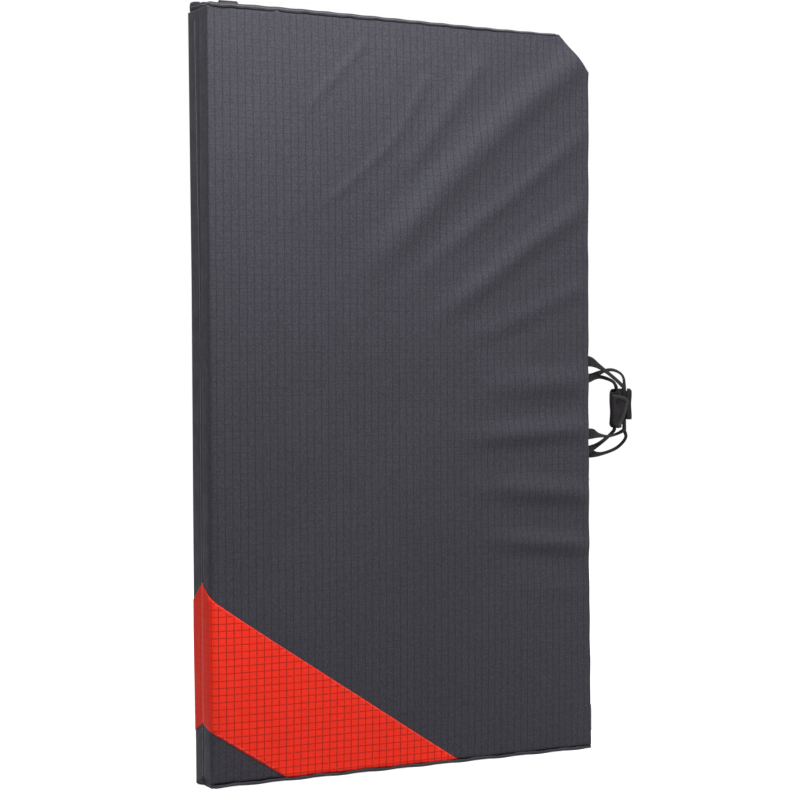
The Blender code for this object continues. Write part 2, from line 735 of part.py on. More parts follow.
def make_zip_slider(shop, label, centre, parent):
    """A saddle round the chain with a bridge on its back for the pull. The centre is on the tape."""
    holder = shop.empty(f"{label}_slider_axis", centre, parent)
    gap = SLIDER_CLEARANCE
    roof = ZIP_CHAIN_RISE + gap
    inner = ZIP_CHAIN_WIDTH / 2 + gap
    outer = inner + SLIDER_WALL
    saddle = [
        (gap, -outer), (gap, -inner), (roof, -inner), (roof, inner),
        (gap, inner), (gap, outer), (roof + SLIDER_WALL, outer), (roof + SLIDER_WALL, -outer),
    ]
    name = f"{label}_zip_slider"
    body = outline_mesh(name, [saddle], SLIDER_LENGTH)
    body.transform(Matrix.Translation(centre))
    slider = shop.piece(name, body, "zip_metal", holder)
    half = BRIDGE_LENGTH / 2 + BRIDGE_WALL
    back = roof + SLIDER_WALL
    crest = back + BRIDGE_CLEAR_HEIGHT
    sunk = back - SLIDER_WALL / 2
    arch = [
        (sunk, -half), (crest, -half), (crest + BRIDGE_WALL, BRIDGE_WALL - half),
        (crest + BRIDGE_WALL, half - BRIDGE_WALL), (crest, half), (sunk, half),
        (sunk, half - BRIDGE_WALL), (crest, half - BRIDGE_WALL),
        (crest, BRIDGE_WALL - half), (sunk, BRIDGE_WALL - half),
    ]
    bridge = outline_mesh(f"{label}_bridge", [arch], BRIDGE_WIDTH)
    bridge.transform(Matrix.Translation(centre) @ Matrix.Rotation(math.radians(90), 4, "X"))
    combine(slider, shop.tool(f"{label}_bridge", bridge, holder), "UNION")
    return holder, centre + ACROSS * (back + BRIDGE_CLEAR_HEIGHT / 2)


def make_zip_pull(shop, label, axis, parent):
    """A hanging tab whose eye runs round the slider's bridge."""
    holder = shop.empty(f"{label}_pull_axis", axis, parent)
    top = PULL_BAR / 2
    eye_width = BRIDGE_WIDTH + 2 * PULL_EYE_CLEARANCE
    tab = rounded_rectangle(PULL_WIDTH, PULL_LENGTH, PULL_WIDTH / 4, (0.0, top - PULL_LENGTH / 2))
    half, foot = eye_width / 2, -PULL_BAR / 2 - PULL_EYE_LENGTH
    eye = [(-half, -PULL_BAR / 2), (half, -PULL_BAR / 2), (half, foot), (-half, foot)]
    plate = outline_mesh(f"{label}_zip_pull", [tab, eye], PULL_PLATE)
    upright = Matrix.Rotation(math.radians(90), 4, "Z") @ Matrix.Rotation(math.radians(90), 4, "X")
    plate.transform(Matrix.Translation(axis) @ upright)
    shop.piece(f"{label}_zip_pull", plate, "zip_metal", holder)


def make_zip(shop, label, side, parent):
    origin = Vector((PANEL_WIDTH + SEAT_GAP, side * zip_line(), ZIP_FOOT_HEIGHT))
    make_zip_tape(shop, label, origin, parent)
    make_zip_stop(shop, f"{label}_zip_bottom_stop", origin, 0.0, parent)
    make_zip_stop(shop, f"{label}_zip_top_stop", origin, ZIP_LENGTH - ZIP_STOP_LENGTH, parent)
    lowest = ZIP_STOP_LENGTH + SLIDER_CLEARANCE + SLIDER_LENGTH / 2
    slider_centre = origin + Vector((ZIP_TAPE_PLY, 0.0, lowest))
    holder, axis = make_zip_slider(shop, label, slider_centre, parent)
    make_zip_pull(shop, label, axis, holder)


# Harness on the outer face of the rear panel

def on_face(x, z, lift):
    """A point over the outer face of the rear panel, at a lift from its surface."""
    return Vector((x, PANEL_DEPTH + crown_at(x, z) + lift, z))


def face_ribbon(shop, name, axis, fixed, path, width, ply, finish):
    """A ribbon over the face that runs along x or z, through points of (run, lift)."""
    stations = []
    for run, lift in path:
        place = on_face(fixed, run, lift) if axis == "z" else on_face(run, fixed, lift)
        stations.append((*place, width, *(ACROSS if axis == "z" else UP)))
    ribbon = shop.piece(name, strap_mesh(name, stations), finish, shop.rear)
    solidify(ribbon, ply)


def make_patch(shop, name, x, z, width, height):
    """A rectangle of reinforcing cloth, sewn over the face."""
    bm = bmesh.new()
    bmesh.ops.create_grid(bm, x_segments=6, y_segments=2, size=0.5)
    for vert in bm.verts:
        vert.co = on_face(x + width * vert.co.x, z + height * vert.co.y, SEAT_GAP + PATCH_CLOTH / 2)
    patch = shop.piece(name, mesh_from(bm, name), "strap_cloth", shop.rear)
    solidify(patch, PATCH_CLOTH)


def strap_line(side, share):
    """The shoulder strap's centreline, from its top (0) to its foot (1)."""
    ease = share * share * (3 - 2 * share)
    offset = STRAP_TOP_OFFSET + (STRAP_FOOT_OFFSET - STRAP_TOP_OFFSET) * ease
    offset += STRAP_BOW * math.sin(math.pi * share) ** 2
    return PANEL_WIDTH / 2 + side * offset, strap_top() - STRAP_LENGTH * share


def strap_top():
    return YOKE_HEIGHT - YOKE_DEPTH / 2 - STRAP_TOP_GAP


def lock_height():
    """The middle of the ladder lock."""
    return strap_top() - STRAP_LENGTH - LOCK_DROP - lock_length() / 2


def anchor_height():
    """The middle of the strap's lower anchor."""
    return lock_height() - ADJUSTER_DROP


def belt_height():
    return anchor_height() - BELT_DROP


def lock_length():
    return 3 * LOCK_BAR + LOCK_UPPER_SLOT + LOCK_LOWER_SLOT


def lock_lift():
    """The lock's middle plane, over the load ply and the tail that pass behind it."""
    return SEAT_GAP + 2 * HARNESS_PLY + 2 * WEB_CLEARANCE + LOCK_THICKNESS / 2


def turn_radius():
    """How far webbing that rounds a bar lies from the bar's middle plane."""
    return LOCK_THICKNESS / 2 + WEB_CLEARANCE + HARNESS_PLY / 2


def make_shoulder_pad(shop, name, side):
    lift = SEAT_GAP + STRAP_PAD / 2
    rows = []
    for share in np.linspace(0, 1, 11):
        x, z = strap_line(side, share)
        rows.append((*on_face(x, z, lift), STRAP_WIDTH, *ACROSS))
    pad = shop.piece(name, strap_mesh(name, rows), "strap_cloth", shop.rear)
    solidify(pad, STRAP_PAD)
    round_edges(pad, STRAP_PAD_ROUND, 2)


def make_shoulder_webbing(shop, name, side):
    """Webbing from the yoke, down the pad, and back behind itself round the lock's upper bar."""
    half = HARNESS_PLY / 2
    on_yoke = SEAT_GAP + PATCH_CLOTH + SEAT_GAP + half
    on_pad = SEAT_GAP + STRAP_PAD + SEAT_GAP + half
    top_x, top_z = strap_line(side, 0.0)
    rise = on_pad - on_yoke
    stations = [on_face(top_x, top_z + YOKE_DEPTH - LOCK_BAR, on_yoke), on_face(top_x, top_z + rise, on_yoke),
                on_face(top_x, top_z, on_pad)]
    for share in np.linspace(0.05, 1.0, 11):
        stations.append(on_face(*strap_line(side, share), on_pad))
    foot_x, foot_z = strap_line(side, 1.0)
    bar_foot = lock_height() + lock_length() / 2 - LOCK_BAR
    front = (bar_foot + LOCK_BAR, lock_lift() + turn_radius())
    turn = [(z, lift) for lift, z in arc_points((lock_lift(), bar_foot), turn_radius(), 0, -180, 6)]
    for run, lift in [front, *turn, (bar_foot + LOOP_LENGTH, lock_lift() - turn_radius())]:
        stations.append(on_face(foot_x, run, lift))
    rows = [(*place, HARNESS_WEBBING, *ACROSS) for place in stations]
    webbing = shop.piece(name, strap_mesh(name, rows), "webbing", shop.rear)
    solidify(webbing, HARNESS_PLY)


def make_ladder_lock(shop, name, side):
    """Three bars between two rails: webbing loops round the upper one and threads the others."""
    x, _ = strap_line(side, 1.0)
    slot_width = HARNESS_WEBBING + 2 * WEB_CLEARANCE
    outer = rounded_rectangle(slot_width + 2 * LOCK_RAIL, lock_length(), LOCK_ROUND)
    upper = lock_length() / 2 - LOCK_BAR - LOCK_UPPER_SLOT / 2
    lower = LOCK_BAR + LOCK_LOWER_SLOT / 2 - lock_length() / 2
    loops = [outer]
    for centre, height in ((upper, LOCK_UPPER_SLOT), (lower, LOCK_LOWER_SLOT)):
        loops.append(rounded_rectangle(slot_width, height, WEB_CLEARANCE, (0.0, centre), steps=1))
    plate = outline_mesh(name, loops, LOCK_THICKNESS)
    place = on_face(x, lock_height(), lock_lift())
    plate.transform(Matrix.Translation(place) @ Matrix.Rotation(math.radians(90), 4, "X"))
    shop.piece(name, plate, "buckle_plastic", shop.rear)


def make_adjuster(shop, name, side):
    """Webbing from the lower anchor, up behind the lock, over its middle bar, and down as a tail."""
    x, _ = strap_line(side, 1.0)
    half = HARNESS_PLY / 2
    load = SEAT_GAP + half
    radius, plane = turn_radius(), lock_lift()
    upper_edge = lock_height() + lock_length() / 2 - LOCK_BAR - LOCK_UPPER_SLOT
    middle_foot = upper_edge - LOCK_BAR
    lower_bar = middle_foot - LOCK_LOWER_SLOT
    anchor = anchor_height()
    on_patch = SEAT_GAP + PATCH_CLOTH + SEAT_GAP + half
    path = [
        (anchor - ANCHOR_LENGTH / 2 + LOCK_BAR, on_patch),
        (anchor + ANCHOR_LENGTH / 2, on_patch),
        (anchor + ANCHOR_LENGTH / 2 + LOCK_BAR, load),
        ((anchor + lower_bar) / 2, load),
        (lower_bar, load),
        (middle_foot, load),
    ]
    path += [(z, lift) for lift, z in arc_points((plane, upper_edge), radius, 180, 0, 6)]
    path += [(middle_foot, plane + radius), (lower_bar, plane - radius)]
    path += [(lower_bar - LOCK_BAR * 2, plane - radius), (lower_bar - TAIL_LENGTH, plane - radius)]
    face_ribbon(shop, name, "z", x, path, HARNESS_WEBBING, HARNESS_PLY, "webbing")


def make_harness(shop):
    middle = PANEL_WIDTH / 2
    make_patch(shop, "harness_yoke", middle, YOKE_HEIGHT, YOKE_WIDTH, YOKE_DEPTH)
    for label, side in (("left", 1.0), ("right", -1.0)):
        make_shoulder_pad(shop, f"shoulder_pad_{label}", side)
        make_shoulder_webbing(shop, f"shoulder_webbing_{label}", side)
        make_ladder_lock(shop, f"ladder_lock_{label}", side)
        make_adjuster(shop, f"adjuster_webbing_{label}", side)
        x, _ = strap_line(side, 1.0)
        make_patch(shop, f"strap_anchor_{label}", x, anchor_height(), ANCHOR_WIDTH, ANCHOR_LENGTH)
        belt_x = middle + side * BELT_ANCHOR_OFFSET
        make_patch(shop, f"belt_anchor_{label}", belt_x, belt_height(), ANCHOR_WIDTH, ANCHOR_LENGTH)
        make_belt(shop, f"waist_belt_{label}", side)
    make_buckle_socket(shop)
    make_buckle_tongue(shop)


# Waist belt buckle

def heel_frame(shop, name, start, way, parent):
    """The slotted end of a buckle half, which the belt loops round, from start along x."""
    slot_half = BELT_WEBBING / 2 + WEB_CLEARANCE
    frame_half = slot_half + BUCKLE_SIDE_WALL / 2
    length = HEEL_NECK + HEEL_SLOT + HEEL_BAR
    sunk = BUCKLE_WALL / 2
    outer = [(-sunk * way, -frame_half), (length * way, -frame_half),
             (length * way, frame_half), (-sunk * way, frame_half)]
    near, far = HEEL_NECK * way, (HEEL_NECK + HEEL_SLOT) * way
    slot = [(near, -slot_half), (far, -slot_half), (far, slot_half), (near, slot_half)]
    frame = outline_mesh(name, [outer, slot], LOCK_THICKNESS)
    frame.transform(Matrix.Translation(start) @ Matrix.Rotation(math.radians(90), 4, "X"))
    return shop.tool(name, frame, parent)


def buckle_centre():
    return on_face(PANEL_WIDTH / 2, belt_height(), SEAT_GAP + BUCKLE_DEPTH / 2)


def make_buckle_socket(shop):
    """The hollow half: a housing open at its mouth, with a window on each side for the barbs."""
    centre = buckle_centre()
    half_width, half_depth = BUCKLE_WIDTH / 2, BUCKLE_DEPTH / 2
    heel = centre - ACROSS * BUCKLE_HOUSING
    housing = block_mesh("buckle_socket", heel - Vector((0, half_depth, half_width)),
                         centre + Vector((0, half_depth, half_width)), BUCKLE_ROUND)
    socket = shop.piece("buckle_socket", housing, "buckle_plastic", shop.rear)
    pocket_half = Vector((0, half_depth - BUCKLE_WALL, half_width - BUCKLE_SIDE_WALL))
    pocket = block_mesh("buckle_pocket", heel + ACROSS * BUCKLE_SIDE_WALL - pocket_half,
                        centre + ACROSS * CUT_OVERRUN + pocket_half)
    combine(socket, shop.tool("buckle_pocket", pocket, shop.rear), "DIFFERENCE")
    window_end = centre - ACROSS * BUCKLE_MOUTH_RIM
    window_half = Vector((0, half_depth - BUCKLE_WALL, half_width + CUT_OVERRUN))
    window = block_mesh("buckle_window", window_end - ACROSS * BUCKLE_WINDOW - window_half,
                        window_end + window_half)
    combine(socket, shop.tool("buckle_window", window, shop.rear), "DIFFERENCE")
    combine(socket, heel_frame(shop, "socket_heel", heel, -1.0, shop.rear), "UNION")


def make_buckle_tongue(shop):
    """The pronged half: two barbed arms and a guide in the housing, on a collar outside its mouth."""
    centre = buckle_centre() + ACROSS * BUCKLE_CLEARANCE
    arm_outer = BUCKLE_WIDTH / 2 - BUCKLE_SIDE_WALL - BUCKLE_CLEARANCE
    arm_inner = arm_outer - PRONG_WIDTH
    barb = arm_outer + PRONG_BARB
    shoulder = -(BUCKLE_MOUTH_RIM + 2 * BUCKLE_CLEARANCE)
    ramp_foot = PRONG_BARB - BUCKLE_MOUTH_RIM - BUCKLE_WINDOW
    tip = -PRONG_LENGTH
    half = [
        (TONGUE_COLLAR, BUCKLE_WIDTH / 2), (0.0, BUCKLE_WIDTH / 2), (0.0, arm_outer),
        (shoulder, arm_outer), (shoulder, barb), (shoulder - PRONG_BARB, barb),
        (ramp_foot, arm_outer), (tip, arm_outer - PRONG_BARB / 2), (tip, arm_inner),
        (0.0, arm_inner - PRONG_WIDTH / 2),
        (0.0, GUIDE_WIDTH / 2), (-GUIDE_LENGTH, GUIDE_WIDTH / 2),
    ]
    outline = half + [(x, -z) for x, z in reversed(half)]
    plate = outline_mesh("buckle_tongue", [outline], TONGUE_THICKNESS)
    plate.transform(Matrix.Translation(centre) @ Matrix.Rotation(math.radians(90), 4, "X"))
    tongue = shop.piece("buckle_tongue", plate, "buckle_plastic", shop.rear)
    heel = heel_frame(shop, "tongue_heel", centre + ACROSS * TONGUE_COLLAR, 1.0, shop.rear)
    combine(tongue, heel, "UNION")


def make_belt(shop, name, side):
    """Half of the waist belt: from its anchor to the buckle's heel bar, round it and sewn down."""
    half = HARNESS_PLY / 2
    middle = PANEL_WIDTH / 2
    reach = HEEL_NECK + HEEL_SLOT
    if side > 0:
        bar = BUCKLE_CLEARANCE + TONGUE_COLLAR + reach
    else:
        bar = BUCKLE_HOUSING + reach
    plane = SEAT_GAP + BUCKLE_DEPTH / 2
    radius = turn_radius()
    load = SEAT_GAP + half
    on_patch = SEAT_GAP + PATCH_CLOTH + SEAT_GAP + half
    anchor_end = BELT_ANCHOR_OFFSET + ANCHOR_WIDTH / 2 - LOCK_BAR
    anchor_start = BELT_ANCHOR_OFFSET - ANCHOR_WIDTH / 2
    free = bar + HEEL_BAR
    path = [(anchor_end, on_patch), (BELT_ANCHOR_OFFSET, on_patch), (anchor_start, on_patch),
            (anchor_start - LOCK_BAR, load)]
    path += [(run, load) for run in np.linspace(anchor_start - LOCK_BAR * 3, free + LOOP_LENGTH, 6)]
    path += [(bar, plane - radius)]
    path += [(bar - u, plane + v) for u, v in arc_points((0.0, 0.0), radius, -90, 90, 6)[1:-1]]
    path += [(bar, plane + radius), (free, plane + radius)]
    sewn = load + HARNESS_PLY + WEB_CLEARANCE
    path += [(free + LOOP_LENGTH, sewn), (free + LOOP_LENGTH * 2.5, sewn)]
    face_ribbon(shop, name, "x", belt_height(), [(middle + side * run, lift) for run, lift in path],
                BELT_WEBBING, HARNESS_PLY, "webbing")


def stand_on_origin(shop):
    """Moves the pad so that the world's origin is under the middle of its outer box."""
    bpy.context.view_layer.update()
    graph = bpy.context.evaluated_depsgraph_get()
    corners = []
    for part in shop.parts.objects:
        if part.type == "MESH":
            solid = part.evaluated_get(graph)
            corners += [part.matrix_world @ v.co for v in solid.to_mesh().vertices]
            solid.to_mesh_clear()
    corners = np.array(corners)
    low, high = corners.min(axis=0), corners.max(axis=0)
    shop.root.location = (-(low[0] + high[0]) / 2, -(low[1] + high[1]) / 2, -low[2])
    print("pad origin at", *(round(value, 6) for value in shop.root.location))


def main():
    clear_scene()
    shop = Workshop()
    for label, side, parent in (("front", FRONT, shop.fold), ("rear", REAR, shop.rear)):
        make_cover(shop, f"{label}_cover", side, parent)
        make_foams(shop, label, side, parent)
        make_corner_band(shop, f"{label}_corner_band", side, parent)
        make_zip(shop, label, side, parent)
    make_hinge_piping(shop)
    make_handles(shop)
    make_grip_wrap(shop)
    make_grip_flap(shop)
    make_grab_loop(shop)
    make_harness(shop)
    stand_on_origin(shop)


main()
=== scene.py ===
"""Dresses the folding crash pad: padded covers with their folds and seams, colour bands, webbing
handles with their grip wrap, zips, shoulder harness and waist belt, on a white studio floor.
Metres, +Z up, front at -Y. Pad coordinates start at the foot of the fold axis, +X away from it."""

import json
import math

import bmesh
import bpy
import numpy as np
from bpy.props import FloatProperty, FloatVectorProperty, PointerProperty
from mathutils import Matrix, Vector
from mathutils.bvhtree import BVHTree


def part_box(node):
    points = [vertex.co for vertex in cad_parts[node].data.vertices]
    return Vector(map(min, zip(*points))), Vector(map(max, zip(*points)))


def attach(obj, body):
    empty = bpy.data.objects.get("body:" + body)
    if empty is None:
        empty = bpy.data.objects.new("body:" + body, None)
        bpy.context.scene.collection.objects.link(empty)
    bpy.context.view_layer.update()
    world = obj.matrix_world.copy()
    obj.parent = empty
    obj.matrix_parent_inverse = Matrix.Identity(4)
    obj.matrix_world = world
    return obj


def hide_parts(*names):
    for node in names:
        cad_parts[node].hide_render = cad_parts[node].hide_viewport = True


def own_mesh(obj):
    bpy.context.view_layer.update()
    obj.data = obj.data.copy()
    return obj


bl_info = {
    "name": "Crash pad dressing",
    "version": (1, 0, 0),
    "blender": (4, 5, 0),
    "location": "3D View > Sidebar > Crash pad",
    "description": "Covers, webbing, harness and hardware of a folding crash pad",
    "category": "Object",
}

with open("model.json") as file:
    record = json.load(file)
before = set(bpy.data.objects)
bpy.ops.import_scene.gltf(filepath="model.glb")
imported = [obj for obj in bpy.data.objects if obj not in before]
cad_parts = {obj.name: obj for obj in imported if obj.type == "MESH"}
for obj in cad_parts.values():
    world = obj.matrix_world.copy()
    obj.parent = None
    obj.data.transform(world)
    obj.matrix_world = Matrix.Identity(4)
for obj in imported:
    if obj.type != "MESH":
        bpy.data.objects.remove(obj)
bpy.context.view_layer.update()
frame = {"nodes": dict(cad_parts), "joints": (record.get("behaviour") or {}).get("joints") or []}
ORIGIN = np.array(next(joint for joint in frame["joints"] if joint["name"] == "fold")["pos_m"])

FRONT, REAR = -1.0, 1.0
ACROSS, OUTWARD, UP = (1.0, 0.0, 0.0), (0.0, 1.0, 0.0), (0.0, 0.0, 1.0)
# Label, side, body, and how strongly the folds show
SIDES = (("front", FRONT, "front_panel", 1.0), ("rear", REAR, "rear_panel", 0.35))
STRAPS = (("left", 1.0), ("right", -1.0))
# Materials by finish, and the finished covers' surfaces by label, filled in on the way
FINISHES, SKINS = {}, {}


# Settings

def size(name, description, default):
    return FloatProperty(name=name, description=description, default=default, unit="LENGTH",
                         precision=5)


def level(name, description, default):
    return FloatProperty(name=name, description=description, default=default, min=0.0)


def colour(name, description, default):
    return FloatVectorProperty(name=name, description=description, default=default, subtype="COLOR",
                               size=3, min=0.0, max=1.0)


class CoverSettings(bpy.types.PropertyGroup):
    height: size("Height", "Height of the folded pad", 1.0)
    width: size("Width", "Width of one panel from the fold seam", 0.576)
    depth: size("Depth", "Depth of one panel", 0.030)
    corner_cut: size("Corner cut", "Leg of the cut top corner", 0.050)
    setback: size("Setback", "Gap from the fold seam to the covers", 0.0012)
    crown: size("Crown", "Rise of the outer face over its edges", 0.005)
    draw_in: size("Draw-in", "How far each rim is pulled in at mid-side", 0.002)
    edge_round: size("Edge rounding", "Radius of the outer edges", 0.0036)
    hinge_round: size("Hinge rounding", "Radius of the fold side's outer edge, near its top", 0.0016)
    hinge_slack: size("Hinge slack", "How much rounder that edge is lower down", 0.0058)
    inner_round: size("Inner rounding", "Radius of the edges beside the fold plane", 0.0014)
    grid: size("Mesh pitch", "Spacing of the cover's mesh", 0.005)
    fold_height: size("Fold height", "Rise of a full fold in the cloth", 0.0085)
    hem_depth: size("Hem depth", "Depth of the crease beside the end seams", 0.0028)
    hem_height: size("Hem height", "Height of the rolled hem on the end seams", 0.0056)
    hem_rise: size("Hem rise", "How far the hem stands over the fold side's top", 0.0050)
    tuck_rise: size("Tuck rise", "Height of the bunched cloth at the rear top corner", 0.0090)
    swell: size("Swell", "How far the rear panel bulges beside the top of the fold", 0.0086)
    seat: size("Seat gap", "Gap between touching pieces", 0.0003)


class TrimSettings(bpy.types.PropertyGroup):
    band_top: size("Band top", "Height of the band's upper edge at the seam", 0.261)
    band_foot: size("Band foot", "Height of the band's lower edge at the seam", 0.0805)
    top_reach: size("Top reach", "Where the upper edge would meet the foot", 0.394)
    foot_reach: size("Foot reach", "Where the lower edge would meet the foot", 0.1255)
    top_drop: size("Top drop", "Fall of the upper edge round the side", 0.018)
    foot_drop: size("Foot drop", "Fall of the lower edge round the side", 0.0085)
    rear_drop: size("Rear drop", "How much further both edges fall on the rear panel's side", 0.0055)
    band_lift: size("Band lift", "Height of the band's cloth over the cover", 0.0005)
    stitch_pitch: size("Stitch pitch", "Spacing of the topstitching", 0.0031)
    stitch_length: size("Stitch length", "Length of one stitch", 0.0020)
    stitch_width: size("Stitch width", "Width of one stitch", 0.0011)
    seam_radius: size("Seam radius", "Radius of the cord at the fold", 0.0013)
    grid_pitch: size("Grid pitch", "Spacing of the ripstop lines", 0.0104)
    grid_line: size("Grid line", "Width of a ripstop line", 0.0009)


class HandleSettings(bpy.types.PropertyGroup):
    webbing: size("Webbing", "Width of the handle webbing", 0.016)
    ply: size("Ply", "Thickness of the handle webbing", 0.0016)
    length: size("Length", "Distance between a handle's two feet", 0.1037)
    front_height: size("Front height", "Height of the front handle's middle", 0.4937)
    rear_height: size("Rear height", "Height of the rear handle's middle", 0.4683)
    from_seam: size("From seam", "From the fold plane to the handle's bend", 0.004)
    foot: size("Foot", "How far the sewn foot reaches", 0.012)
    outer_from_seam: size("Outer strand", "From the fold plane to the outer strand's bend", 0.0085)
    outer_foot: size("Outer foot", "How far the outer strand's foot reaches", 0.008)
    grip_reach: size("Grip reach", "From the side wall to the grip's middle", 0.0682)
    grip_height: size("Grip height", "Height of the grip's middle", 0.4775)
    grip_length: size("Grip length", "Length of the grip wrap", 0.055)
    grip_width: size("Grip width", "Width of the grip wrap", 0.034)
    grip_depth: size("Grip depth", "Depth of the grip wrap", 0.021)
    grip_cloth: size("Grip cloth", "Thickness of the wrap's cloth", 0.0022)
    grip_round: size("Grip rounding", "Corner radius of the wrap", 0.009)
    grip_mouth: size("Grip mouth", "Width of the wrap's opening", 0.009)
    front_lane: size("Front lane", "Depth at which the front strand runs in the grip", 0.005)
    binding: size("Binding", "Width of the flap's bound edge", 0.0055)
    loop_webbing: size("Loop webbing", "Width of the grab loop's webbing", 0.025)
    loop_length: size("Loop length", "Distance across the grab loop's feet", 0.018)
    loop_rise: size("Loop rise", "Height of the grab loop", 0.0090)
    loop_from_hinge: size("Loop from hinge", "From the fold seam to the loop's middle", 0.0365)
    loop_from_seam: size("Loop from seam", "From the fold plane to the loop's middle", 0.0125)


class HarnessSettings(bpy.types.PropertyGroup):
    yoke_height: size("Yoke height", "Height of the yoke's middle", 0.79)
    yoke_width: size("Yoke width", "Width of the yoke", 0.23)
    yoke_depth: size("Yoke depth", "Height of the yoke patch", 0.046)
    patch: size("Patch cloth", "Thickness of the sewn patches", 0.0016)
    pad: size("Strap pad", "Thickness of the shoulder pads", 0.010)
    pad_width: size("Pad width", "Width of the shoulder pads", 0.062)
    pad_length: size("Pad length", "Length of the shoulder pads", 0.33)
    top_gap: size("Top gap", "Gap between yoke and pad", 0.0015)
    top_offset: size("Top offset", "From the middle to the strap's top", 0.062)
    foot_offset: size("Foot offset", "From the middle to the strap's foot", 0.078)
    bow: size("Bow", "Outward bow of the straps", 0.010)
    webbing: size("Webbing", "Width of the harness webbing", 0.025)
    ply: size("Ply", "Thickness of the harness webbing", 0.0016)
    clearance: size("Clearance", "Gap between webbing and hardware", 0.0004)
    lock_bar: size("Lock bar", "Height of a ladder lock's bars", 0.004)
    lock_upper: size("Upper slot", "Height of the lock's upper slot", 0.0085)
    lock_lower: size("Lower slot", "Height of the lock's lower slot", 0.008)
    lock_thickness: size("Lock thickness", "Thickness of the ladder lock", 0.003)
    lock_drop: size("Lock drop", "From the pad's foot to the lock", 0.024)
    loop: size("Loop", "Length of webbing sewn back at a bar", 0.018)
    adjuster_drop: size("Adjuster drop", "From the lock to the lower anchor", 0.115)
    tail: size("Tail", "Length of the adjuster's tail", 0.070)
    anchor_width: size("Anchor width", "Width of the anchor patches", 0.058)
    anchor_length: size("Anchor length", "Height of the anchor patches", 0.052)
    belt_drop: size("Belt drop", "From the lower anchors to the belt", 0.055)
    belt: size("Belt webbing", "Width of the waist belt", 0.038)
    belt_anchor: size("Belt anchor", "From the middle to the belt's anchors", 0.180)
    housing: size("Buckle housing", "Length of the buckle's housing", 0.036)
    buckle_depth: size("Buckle depth", "Depth of the buckle", 0.0115)
    heel_neck: size("Heel neck", "From the buckle to its heel slot", 0.002)
    heel_slot: size("Heel slot", "Width of the heel slot", 0.0075)
    heel_bar: size("Heel bar", "Width of the heel bar", 0.004)
    tongue_collar: size("Collar", "Length of the tongue's collar", 0.005)
    tongue_gap: size("Tongue gap", "Gap between the buckle's halves", 0.0005)


class FinishSettings(bpy.types.PropertyGroup):
    charcoal: colour("Charcoal", "Cover cloth", (0.046, 0.045, 0.055))
    charcoal_line: colour("Charcoal line", "Ripstop lines of the cover", (0.020, 0.020, 0.025))
    red: colour("Red", "Corner band cloth", (0.90, 0.036, 0.018))
    red_line: colour("Red line", "Ripstop lines of the band", (0.20, 0.010, 0.008))
    stitch: colour("Stitch", "Topstitching thread", (0.20, 0.20, 0.22))
    seam_stitch: colour("Seam stitch", "Thread of the fold seam", (0.34, 0.34, 0.36))
    red_stitch: colour("Red stitch", "Thread over the red cloth", (0.86, 0.10, 0.075))
    webbing: colour("Webbing", "Handle and harness webbing", (0.032, 0.029, 0.029))
    wrap: colour("Wrap", "Grip wrap cloth", (0.019, 0.017, 0.019))
    binding: colour("Binding", "Bound edge of the flap", (0.050, 0.048, 0.048))
    strap: colour("Strap cloth", "Shoulder pads and patches", (0.048, 0.049, 0.055))
    plastic: colour("Plastic", "Buckles and ladder locks", (0.022, 0.022, 0.024))
    metal: colour("Metal", "Zip sliders, pulls and stops", (0.13, 0.13, 0.135))
    tape: colour("Zip tape", "Zip tape", (0.026, 0.026, 0.029))
    landing: colour("Landing foam", "Closed-cell foam", (0.12, 0.12, 0.13))
    core: colour("Core foam", "Open-cell foam", (0.62, 0.60, 0.52))


class StageSettings(bpy.types.PropertyGroup):
    focal: level("Focal length", "Lens in pixels of the photograph", 2000.0)
    camera: FloatVectorProperty(name="Camera", description="Camera in pad coordinates", size=3,
                                default=(-0.9449, -2.4097, 0.5401), subtype="XYZ")
    turn: FloatVectorProperty(name="Turn", description="Yaw, pitch and roll in degrees", size=3,
                              default=(-27.040, 0.908, -0.281), subtype="XYZ")
    ambient: level("Ambient", "Light of the surroundings", 0.105)
    key: level("Key", "Power of the main light in watts", 41.0)
    fill: level("Fill", "Power of the side light in watts", 3.0)
    back: level("Back", "Power of the light behind the pad in watts", 57.0)
    near_glow: level("Near glow", "Strength of the white floor close to the pad", 0.83)
    floor_grey: level("Floor grey", "Shade of the floor's matt share", 0.60)
    floor_size: size("Floor", "Half the floor's width", 30.0)


GROUPS = {"pad_cover": CoverSettings, "pad_trim": TrimSettings, "pad_handles": HandleSettings,
          "pad_harness": HarnessSettings, "pad_finish": FinishSettings, "pad_stage": StageSettings}


def cover():
    return bpy.context.scene.pad_cover


def trim():
    return bpy.context.scene.pad_trim


def handles():
    return bpy.context.scene.pad_handles


def harness():
    return bpy.context.scene.pad_harness


# Finishes

class Nodes:
    """Short ways to add nodes to a tree and to join them."""

    def __init__(self, tree):
        self.tree = tree

    def add(self, kind, **values):
        node = self.tree.nodes.new(kind)
        for key, value in values.items():
            setattr(node, key, value)
        return node

    def join(self, source, target):
        self.tree.links.new(source, target)

    def math(self, operation, *values):
        node = self.add("ShaderNodeMath", operation=operation)
        for socket, value in zip(node.inputs, values):
            if isinstance(value, (int, float)):
                socket.default_value = value
            else:
                self.join(value, socket)
        return node.outputs[0]

    def spread(self, value, low, high, to_low=0.0, to_high=1.0):
        node = self.add("ShaderNodeMapRange", interpolation_type="SMOOTHSTEP")
        for socket, number in zip(list(node.inputs)[1:5], (low, high, to_low, to_high)):
            socket.default_value = number
        self.join(value, node.inputs[0])
        return node.outputs[0]


